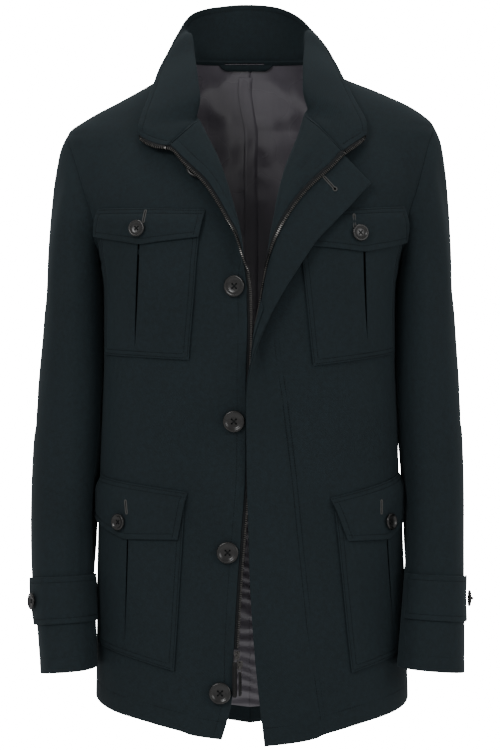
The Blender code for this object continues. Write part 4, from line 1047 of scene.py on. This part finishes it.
def make_lining_pleat():
    """The ease pleat down the middle of the lining, folded over to the wearer's left."""
    trees = [cloths[f"lining_back_{side}"].tree(-1) for side in SIDES]
    pixel = PIXEL_AT_MIDDLE * (1 - BACK_DEPTH / CAMERA_PLACE[1])
    x, down = np.array(LINING_FOLD).T
    x = (x - PICTURE[0] / 2) * pixel
    level = CAMERA_PLACE[2] + (PICTURE[1] / 2 - down) * pixel
    widths = np.linspace(0, FOLD_WIDTH, len(FOLD_LIFT))
    rows = []
    for z in np.arange(level[-1], level[0], FOLD_STEP):
        row = []
        for at, lift in zip(np.interp(-z, -level, x) + widths, FOLD_LIFT):
            hits = [tree.ray_cast(Vector((at, INSIDE, z)), Vector((0, 1, 0)))[0] for tree in trees]
            row.append((at, min((hit.y for hit in hits if hit is not None), default=np.nan) - lift, z))
        rows.append(row)
    middle = np.array(rows)
    middle = middle[~np.isnan(middle[..., 1]).any(axis=1)]
    even_out(middle, 2)
    normal = unit(np.cross(np.gradient(middle, axis=0), np.gradient(middle, axis=1)))
    pleat = Cloth.strip(middle[:, ::-1], normal[:, ::-1], FOLD_THICKNESS, widths, middle[:, 0, 2])
    keep("lining_pleat", pleat, SATIN)


BINDING = ((-5.0, 1.0), (-2.5, 1.3), (0.0, 1.3), (0.7, 1.0))  # mm above the lining's edge, and in from it
BINDING_THICKNESS = 0.9


def make_neck_binding(side):
    """The narrow wool facing over the seam between lining and collar."""
    lining = cloths[f"lining_back_{side}"]
    normal = lining.normal[-1]
    edge = lining.middle[-1] + normal * lining.lift[-1][:, None]
    up = unit(lining.middle[-1] - lining.middle[-2])
    middle = np.stack([edge + up * rise - normal * inset for rise, inset in BINDING])
    rises = [rise for rise, _ in BINDING]
    binding = Cloth.strip(middle, normal, BINDING_THICKNESS, lining.flat[-1, :, 0], rises)
    keep(f"neck_binding_{side}", binding, WOOL)


HANGER_SLIT = (225, 267, 64.4)  # pixels: from, to, and down
# the dark rod is painted shadow in the slit; the pale one is lining satin
SLIT_THREADS = ((0.0, 0.55, "pale"), (-0.7, 0.5, "dark"))


def make_hanger_slit():
    """The gap above the patch, through which the lining shows: a pale rod of lining satin and a dark rod of
    painted shadow.
    """
    trees = [cloths[node].tree(-1) for node in ("hanger_patch", "neck_binding_right", "neck_binding_left")]
    start, stop, down = HANGER_SLIT
    for shift, radius, name in SLIT_THREADS:
        route = crease_course(trees, "front", [(x, down + shift) for x in np.arange(start, stop, 3.0)])
        parts = [rod(a, b, radius) for a, b in zip(route, route[1:])]
        slit = make_piece("hanger_slit_" + name, *joined(parts), SATIN if name == "pale" else GAP_SHADE)
        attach(slit, BODY)


def lay_photo_lines():
    """Lines of stitches that are placed where the photograph shows them."""
    front = cloths["front_left"]
    front.seen(FLY_LINE)
    front.seen([(x + FLY_LINE_APART, y) for x, y in FLY_LINE])
    cloths["fly_lining_left"].seen(FLY_STRIP, -1)
    for line in FACING_FOLDS:
        cloths["facing_left"].seen(line, -1)


TRIMS = {"zip_tape": "facing", "neck_binding": "lining_back"}  # narrow strips, and the cloths they go with


def dress():
    """Makes every cloth and its stitches into pieces."""
    made = {}
    for node, cloth in cloths.items():
        cloth.sink_lines()
        made[node] = [cloth.mesh(node + "_cloth", materials[node])]
        if cloth.lines:
            made[node].append(make_stitches(node + "_stitches", cloth.lines, cloth.thickness / 2, THREAD))
        for piece in made[node]:
            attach(piece, BODY)
        if node in frame["nodes"]:
            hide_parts(node)
    for stem, host in TRIMS.items():
        for side in SIDES:
            made[f"{host}_{side}"] += made.pop(f"{stem}_{side}")
    for node, pieces in made.items():
        stem = node.rsplit("_", 1)[0] if node.endswith(SIDES) else node


# --- Buttons and buttonholes -------------------------------------------------------------------------
BUTTON_PROFILE = [  # share of the radius, share of the thickness
    (0.0, 0.50), (0.30, 0.50), (0.56, 0.54), (0.66, 0.66), (0.76, 0.92), (0.86, 1.0),
    (0.95, 0.92), (1.0, 0.66), (0.98, 0.38), (0.86, 0.14), (0.62, 0.0), (0.0, 0.0),
]
BUTTON_SIDES = 48
HOLE_PLACE, HOLE_RADIUS = 0.20, 0.085
HOLE_SIDES = 14


def turned(profile, sides):
    """Points and faces of a profile of (radius, height) turned round Z, closed where it meets the axis."""
    points, rings = [], []
    for radius, height in profile:
        count = sides if radius else 1
        rings.append([len(points) + k % count for k in range(sides)])
        for turn in (2 * math.pi * k / sides for k in range(count)):
            points.append((radius * math.cos(turn), radius * math.sin(turn), height))
    faces = []
    for upper, lower in zip(rings, rings[1:]):
        for k, m in enumerate([*range(1, sides), 0]):
            faces.append(list(dict.fromkeys([upper[k], lower[k], lower[m], upper[m]])))
    return points, faces


def joined(parts):
    """One list of points and one of faces from several."""
    points, faces = [], []
    for some, their in parts:
        faces += [[v + len(points) for v in f] for f in their]
        points += [tuple(p) for p in some]
    return points, faces


def moved(part, place, frame_of=np.eye(3)):
    points, faces = part
    return [np.asarray(place) + np.asarray(p) @ frame_of for p in points], faces


def button_hole_places(radius):
    reach = HOLE_PLACE * radius
    return [(a * reach, b * reach, 0.0) for a in (-1, 1) for b in (-1, 1)]


def make_button_mesh(radius, thickness):
    """A four-hole button with a raised rim, its back on the origin."""
    points, faces = turned([(r * radius, h * thickness) for r, h in BUTTON_PROFILE], BUTTON_SIDES)
    button = make_piece("button_blank", points, faces, HORN)
    wide, top, foot = HOLE_RADIUS * radius, 2 * thickness, -thickness
    bore = turned([(0, top), (wide, top), (wide, foot), (0, foot)], HOLE_SIDES)
    bores = [moved(bore, place) for place in button_hole_places(radius)]
    cutter = make_piece("button_cutter", *joined(bores), HORN)
    cut = button.modifiers.new("holes", "BOOLEAN")
    cut.operation, cut.solver, cut.object = "DIFFERENCE", "EXACT", cutter
    bpy.context.view_layer.update()
    done = button.evaluated_get(bpy.context.evaluated_depsgraph_get())
    mesh = bpy.data.meshes.new_from_object(done)
    mesh.name = f"button_{radius:.0f}"
    bpy.data.objects.remove(button)
    bpy.data.objects.remove(cutter)
    mesh.shade_smooth()
    mesh.set_sharp_from_angle(angle=math.radians(50))
    return mesh


def node_points(node):
    mesh = frame["nodes"][node].data
    return np.unique(np.round([tuple(v.co) for v in mesh.vertices], 6), axis=0) / MM


def disc_of(node):
    """The middle of a disc's back, its axis out of the garment, its radius and its thickness."""
    points = node_points(node)
    middle = points.mean(0)
    axis = np.linalg.svd(points - middle)[2][2]
    if axis[1] > 0:
        axis = -axis
    along = (points - middle) @ axis
    radius = np.linalg.norm(points - middle - along[:, None] * axis, axis=1).max()
    return middle + axis * along.min(), axis, radius, along.max() - along.min()


def facing_frame(axis, up=(0, 0, 1)):
    """Rows: across, up and along an axis that faces out."""
    up = unit(np.array(up) - axis * (axis @ up))
    return np.array([np.cross(up, axis), up, axis])


def rod(start, end, radius, sides=8):
    """Points and faces of a round bar."""
    start, end = np.array(start, float), np.array(end, float)
    long = end - start
    length = np.linalg.norm(long)
    up = (0, 0, 1) if abs(long[2]) < 0.9 * length else (0, 1, 0)
    bar = turned([(0, length), (radius * 0.7, length), (radius, length * 0.9), (radius, length * 0.1),
                  (radius * 0.7, 0), (0, 0)], sides)
    return moved(bar, start, facing_frame(long / length, up))


BUTTON_THREAD, THREAD_APART = 0.32, 0.35
THREAD_LEVEL, SHANK_LEVEL = 0.52, 0.5  # shares of the button's thickness
SHANK_RADIUS, SHANK_NECK, SHANK = 1.7, 0.6, 2.6


def make_buttons():
    shapes = {}
    for node in sorted(node for node in frame["nodes"] if node.startswith("button")):
        place, axis, radius, thickness = disc_of(node)
        kind = round(radius)
        if kind not in shapes:
            shapes[kind] = make_button_mesh(radius, thickness)
        button = placed(node + "_turned", shapes[kind])
        turn = facing_frame(axis)
        button.matrix_world = Matrix.Translation(Vector(place) * MM) @ Matrix(turn.T.tolist()).to_4x4()
        top, r = thickness * SHANK_LEVEL, SHANK_RADIUS
        sewn = [turned([(0, top), (r * SHANK_NECK, top), (r, 0), (r, -SHANK), (0, -SHANK)], 12)]
        holes = np.array(button_hole_places(radius)) + (0, 0, thickness * THREAD_LEVEL)
        for a, b, sign in ((0, 3, -1), (1, 2, 1)):
            for shift in (-THREAD_APART, THREAD_APART):
                aside = (shift, shift * sign, 0)
                sewn.append(rod(holes[a] + aside, holes[b] + aside, BUTTON_THREAD))
        thread = make_piece(node + "_thread", *moved(joined(sewn), place, turn), THREAD)
        for piece in (button, thread):
            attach(piece, BODY)
        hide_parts(node)


HOLE_STITCH, HOLE_GAUGE = 0.62, 0.75  # the thread's radius, and the slit's half width
HOLE_ROW, HOLE_RISE = 0.6, 0.35  # shares of the thread's radius: out from the slit, and above the cloth
HOLE_GAP = 0.75  # share of the slit's half width that is filled with painted shade
HOLE_STEP, HOLE_SWELL = 0.3, 0.2
EYE_RADIUS, EYE_GAP, EYE_TOP, EYE_FOOT = 2.3, 0.6, 0.2, -0.4


def make_buttonhole(name, cloth, pixels, face, eye=False):
    """A worked buttonhole between two pixels: close stitches round a slit filled with painted shade, some
    with an eye at the second.
    """
    points, normals = looked_at(cloth.tree(face), pixels)
    start, end = points[0], points[-1]
    normal = unit(normals.mean(0))
    if normal @ (CAMERA_PLACE - start) < 0:
        normal = -normal
    long = unit(end - start)
    side = np.cross(normal, long)
    length = np.linalg.norm(end - start)
    half = HOLE_GAUGE + HOLE_STITCH * HOLE_ROW
    far = EYE_RADIUS if eye else half
    neck = 180 - math.degrees(math.asin(half / far))
    ring = [(-half * math.cos(a), -half * math.sin(a)) for a in np.radians(np.linspace(90, -90, 13))]
    for a in np.radians(np.linspace(neck, -neck, 25)):
        ring.append((length + far * math.cos(a), far * math.sin(a)))
    rise = normal * HOLE_STITCH * HOLE_RISE
    route = np.array([start + long * u + side * v + rise for u, v in ring + ring[:1]])
    run = run_of(route)
    count = int(run[-1] / HOLE_STEP)
    route = drawn(route, run, np.linspace(0, run[-1], count, endpoint=False))
    swell = HOLE_STITCH * (1 + HOLE_SWELL * np.cos(np.arange(count) * math.pi * 2 / 3))
    hole = make_piece(name, *closed_tube(route, normal, swell, 8, flatness=1.25), PALE_THREAD)
    # the slit and the eye are filled with near-black rods of painted shade
    slot = rod((0, 0, 0), (0, 0, length), HOLE_GAUGE * HOLE_GAP)
    parts = [moved(slot, start, facing_frame(long, normal))]
    if eye:
        r = EYE_RADIUS * EYE_GAP
        dark = turned([(0, EYE_TOP), (r, EYE_TOP), (r, EYE_FOOT), (0, EYE_FOOT)], 16)
        parts.append(moved(dark, end, facing_frame(normal, long)))
    slit = make_piece(name + "_slit", *joined(parts), GAP_SHADE)
    for piece in (hole, slit):
        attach(piece, BODY)


BUTTONHOLES = {  # start and end in pixels
    "chest_flap_right": [(145.5, 211), (143.2, 222)],
    "chest_flap_left": [(354, 215), (354.8, 227)],
    "lower_flap_right": [(125.5, 501), (126.6, 513)],
    "lower_flap_left": [(381.5, 501), (381.5, 513)],
}
KEYHOLE = [(324, 177), (335, 189)]


def make_buttonholes():
    for node, pixels in BUTTONHOLES.items():
        make_buttonhole("buttonhole_" + node.replace("_flap", ""), cloths[node], pixels, 1)
    make_buttonhole("buttonhole_fly", cloths["fly_lining_left"], KEYHOLE, -1, eye=True)


# --- Zip -------------------------------------------------------------------------------------------
TOOTH_PITCH = 2.5
TOOTH = (1.35, 3.4, 2.4)  # along the tape, across it, and thick
TOOTH_BEVEL, TOOTH_REACH = 0.5, 0.2
TOOTH_SMOOTHING = 60


def block(size, bevel):
    """A box with chamfered edges along its length, on its middle."""
    x, y, z = (v / 2 for v in size)
    over, up = y - bevel, z - bevel
    outline = [(-over, -z), (over, -z), (y, -up), (y, up), (over, z), (-over, z), (-y, up), (-y, -up)]
    n = len(outline)
    points = [(s * x, a, b) for s in (-1, 1) for a, b in outline]
    return points, [list(range(n))[::-1], list(range(n, 2 * n))] + ring_faces(2, n)


def make_teeth(side):
    """A metal tooth every TOOTH_PITCH along the tape's free edge."""
    tape = cloths[f"zip_tape_{side}"]
    tape.along("r" if side == "right" else "l", TOOTH_REACH)
    line, normals, _ = tape.lines.pop()
    line = tape.raised(line, normals)
    run = np.arange(len(line)) * STEP
    places = np.arange(TOOTH_PITCH, len(line) * STEP - TOOTH_PITCH, TOOTH_PITCH)
    even_out(line, TOOTH_SMOOTHING)
    at = [drawn(values, run, places) for values in (line, normals, np.gradient(line, axis=0))]
    tooth = block(TOOTH, TOOTH_BEVEL)
    parts = [moved(tooth, point, np.array([along, unit(np.cross(out, along)), out]))
             for point, out, along in zip(at[0], unit(at[1]), unit(at[2]))]
    teeth = make_piece(f"zip_teeth_{side}", *joined(parts), METAL, smooth=False)
    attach(teeth, BODY)


SLIDER_WELD, SLIDER_BEVEL = 0.01, 0.42
LINK_WIRE, LINK_FOOT, LINK_CORNER = 0.42, 8.6, 1.0  # the wire's radius, its foot below the pivot, its bends
TAB_TOP, TAB_BODY = 7.8, 10.0  # below the pivot: the leather's top, and where its full width is looked for
TAB_SIDES, TAB_SQUARE, TAB_TIP = 20, 4.0, 0.02
TAB_STITCH, TAB_STITCH_TOP, TAB_STITCH_FOOT = 1.1, 3.5, 2.5  # how far in from its sides and its ends
TAB_OUTLINE = [(0.0, 0.72), (0.03, 0.86), (0.10, 0.96), (0.2, 1.0), (0.55, 1.0), (0.90, 1.0), (0.95, 0.95),
               (0.985, 0.80), (1.0, 0.5)]  # shares of the way down, and of the width


def make_slider(node):
    """The slider's own form with its edges rounded."""
    slider = placed(node + "_polished", frame["nodes"][node].data.copy())
    slider.data.materials.clear()
    slider.data.materials.append(METAL)
    weld = slider.modifiers.new("weld", "WELD")
    weld.merge_threshold = SLIDER_WELD * MM
    bevel = slider.modifiers.new("bevel", "BEVEL")
    bevel.width, bevel.segments, bevel.limit_method = SLIDER_BEVEL * MM, 3, "ANGLE"
    slider.data.shade_smooth()
    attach(slider, BODY)
    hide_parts(node)


def make_pull(joint):
    """The wire link and the stitched leather tab that hang from a slider."""
    body = joint["child"]
    node = body.replace("pull", "zip_pull")
    pivot = np.array(joint["pos_m"]) / MM
    points = node_points(node)
    link = points[points[:, 2] > pivot[2] - 1, 0]
    half, middle = np.ptp(link) / 2 - LINK_WIRE, (link.max() + link.min()) / 2
    r = LINK_CORNER
    ring = []
    for x, z, start in ((half - r, -r, 0), (r - half, -r, 90), (r - half, r - LINK_FOOT, 180),
                        (half - r, r - LINK_FOOT, 270)):
        for a in np.radians([start + 5, start + 45, start + 85]):
            ring.append((middle + x + r * math.cos(a), pivot[1], pivot[2] + z + r * math.sin(a)))
    wire = make_piece(body + "_link", *closed_tube(np.array(ring), (0.0, 1.0, 0.0), LINK_WIRE, 10), METAL)

    height = points[:, 2]
    levels = [points[np.abs(height - z) < 0.1] for z in np.unique(height.round(1)) if z < pivot[2] - TAB_BODY]
    corners = max(levels, key=lambda level: np.ptp(level[:, :2], axis=0).sum())
    centre = corners.mean(0)
    wide = np.array([*np.linalg.svd(corners[:, :2] - centre[:2])[2][0], 0.0])
    thick = np.array([wide[1], -wide[0], 0.0])
    if thick[1] > 0:
        thick = -thick
    width, depth = (np.ptp(corners @ way) for way in (wide, thick))
    top, bottom = pivot[2] - TAB_TOP, height.min()
    shape = []
    for share, full in [(0.0, TAB_TIP), *TAB_OUTLINE, (1.0, TAB_TIP)]:
        slim = min(1.0, full + 0.25)
        for turn in round_turns(TAB_SIDES):
            c, d = math.cos(turn), math.sin(turn)
            reach = (abs(c) ** TAB_SQUARE + abs(d) ** TAB_SQUARE) ** (-1 / TAB_SQUARE)
            spot = centre + wide * c * reach * width / 2 * full + thick * d * reach * depth / 2 * slim
            shape.append((*spot[:2], top + (bottom - top) * share))
    tab = make_piece(body + "_tab", shape, ring_faces(len(TAB_OUTLINE) + 2, TAB_SIDES), LEATHER)
    lines = []
    for sign in (-1, 1):
        ends = np.array([centre + wide * sign * (width / 2 - TAB_STITCH)] * 2)
        ends[:, 2] = top - TAB_STITCH_TOP, bottom + TAB_STITCH_FOOT
        lines.append((*resampled(ends, np.array([thick, thick]), 0, 0), 1))
    sewn = make_stitches(body + "_stitches", lines, depth / 2 + GROOVE, THREAD)
    for piece in (wire, tab, sewn):
        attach(piece, body)
    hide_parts(node)


# --- Putting it together ------------------------------------------------------------------------------
lay_body()
for side in SIDES:
    lay(f"zip_tape_{side}", from_body, "", TAPE)
lay_sleeves()
lay_pockets()
lay_photo_lines()
for side in SIDES:
    lining = cloths[f"lining_back_{side}"]
    ruffle_lining(lining)
    lining.lengthen(NECK_TUCK)
    make_neck_binding(side)
    for place in ("chest", "lower"):
        open_pleat(f"{place}_pocket_{side}", side)
make_lining_pleat()
make_hanger_slit()
crease_cloths()
make_buttons()
make_buttonholes()
for side in SIDES:
    make_teeth(side)
for node in ("zip_slider_upper", "zip_slider_lower"):
    make_slider(node)
for joint in frame["joints"]:
    make_pull(joint)
dress()

LOOKS = {"shell_cloth": WOOL, "lining_satin": SATIN, "button_horn": HORN, "zip_tape": TAPE,
         "zip_metal": METAL, "pull_leather": LEATHER}
for name, obj in frame["nodes"].items():
    for slot in obj.material_slots:
        if slot.material and slot.material.name in LOOKS:
            slot.material = LOOKS[slot.material.name]

# --- Floor, light and camera -------------------------------------------------------------------------
FLOOR_LEVEL = -1.30
FLOOR_RADIUS, FLOOR_DEPTH = 4.0, 0.01
WORLD_LIGHT, BACKDROP = 0.5, 20.0


def make_floor():
    bpy.ops.mesh.primitive_cylinder_add(vertices=96, radius=FLOOR_RADIUS, depth=FLOOR_DEPTH,
                                        location=(0, 0, FLOOR_LEVEL - FLOOR_DEPTH / 2))
    floor = bpy.context.object
    floor.name = "floor"
    m = Nodes("floor_matte")
    m.shade(m.noise(6), (1, 1, 1), 0.86, 0.90)
    floor.data.materials.append(m.done(Roughness=0.9))


def make_light(name, place, size, power, colour=(1, 1, 1)):
    data = bpy.data.lights.new(name, "AREA")
    data.shape = "DISK"
    data.size = size
    data.energy = power
    data.color = colour
    light = bpy.data.objects.new(name, data)
    light.location = place
    light.rotation_euler = (Vector((0, 0, -0.35)) - Vector(place)).to_track_quat("-Z", "Y").to_euler()
    bpy.context.scene.collection.objects.link(light)


def make_world():
    world = bpy.data.worlds.new("studio")
    world.use_nodes = True
    nodes, links = world.node_tree.nodes, world.node_tree.links
    seen, mix = nodes.new("ShaderNodeLightPath"), nodes.new("ShaderNodeMixShader")
    links.new(seen.outputs["Is Camera Ray"], mix.inputs["Fac"])
    shaders = (nodes["Background"], WORLD_LIGHT), (nodes.new("ShaderNodeBackground"), BACKDROP)
    for place, (shader, strength) in enumerate(shaders, 1):
        shader.inputs["Color"].default_value = (1, 1, 1, 1)
        shader.inputs["Strength"].default_value = strength
        links.new(shader.outputs[0], mix.inputs[place])
    links.new(mix.outputs[0], nodes["World Output"].inputs["Surface"])
    bpy.context.scene.world = world


make_floor()
make_world()
make_light("key", (-1.8, -3.0, 1.6), 1.4, 42)
make_light("fill", (2.6, -2.6, 0.6), 1.6, 22)
make_light("top", (0.0, 0.4, 2.6), 1.4, 26)
make_camera()
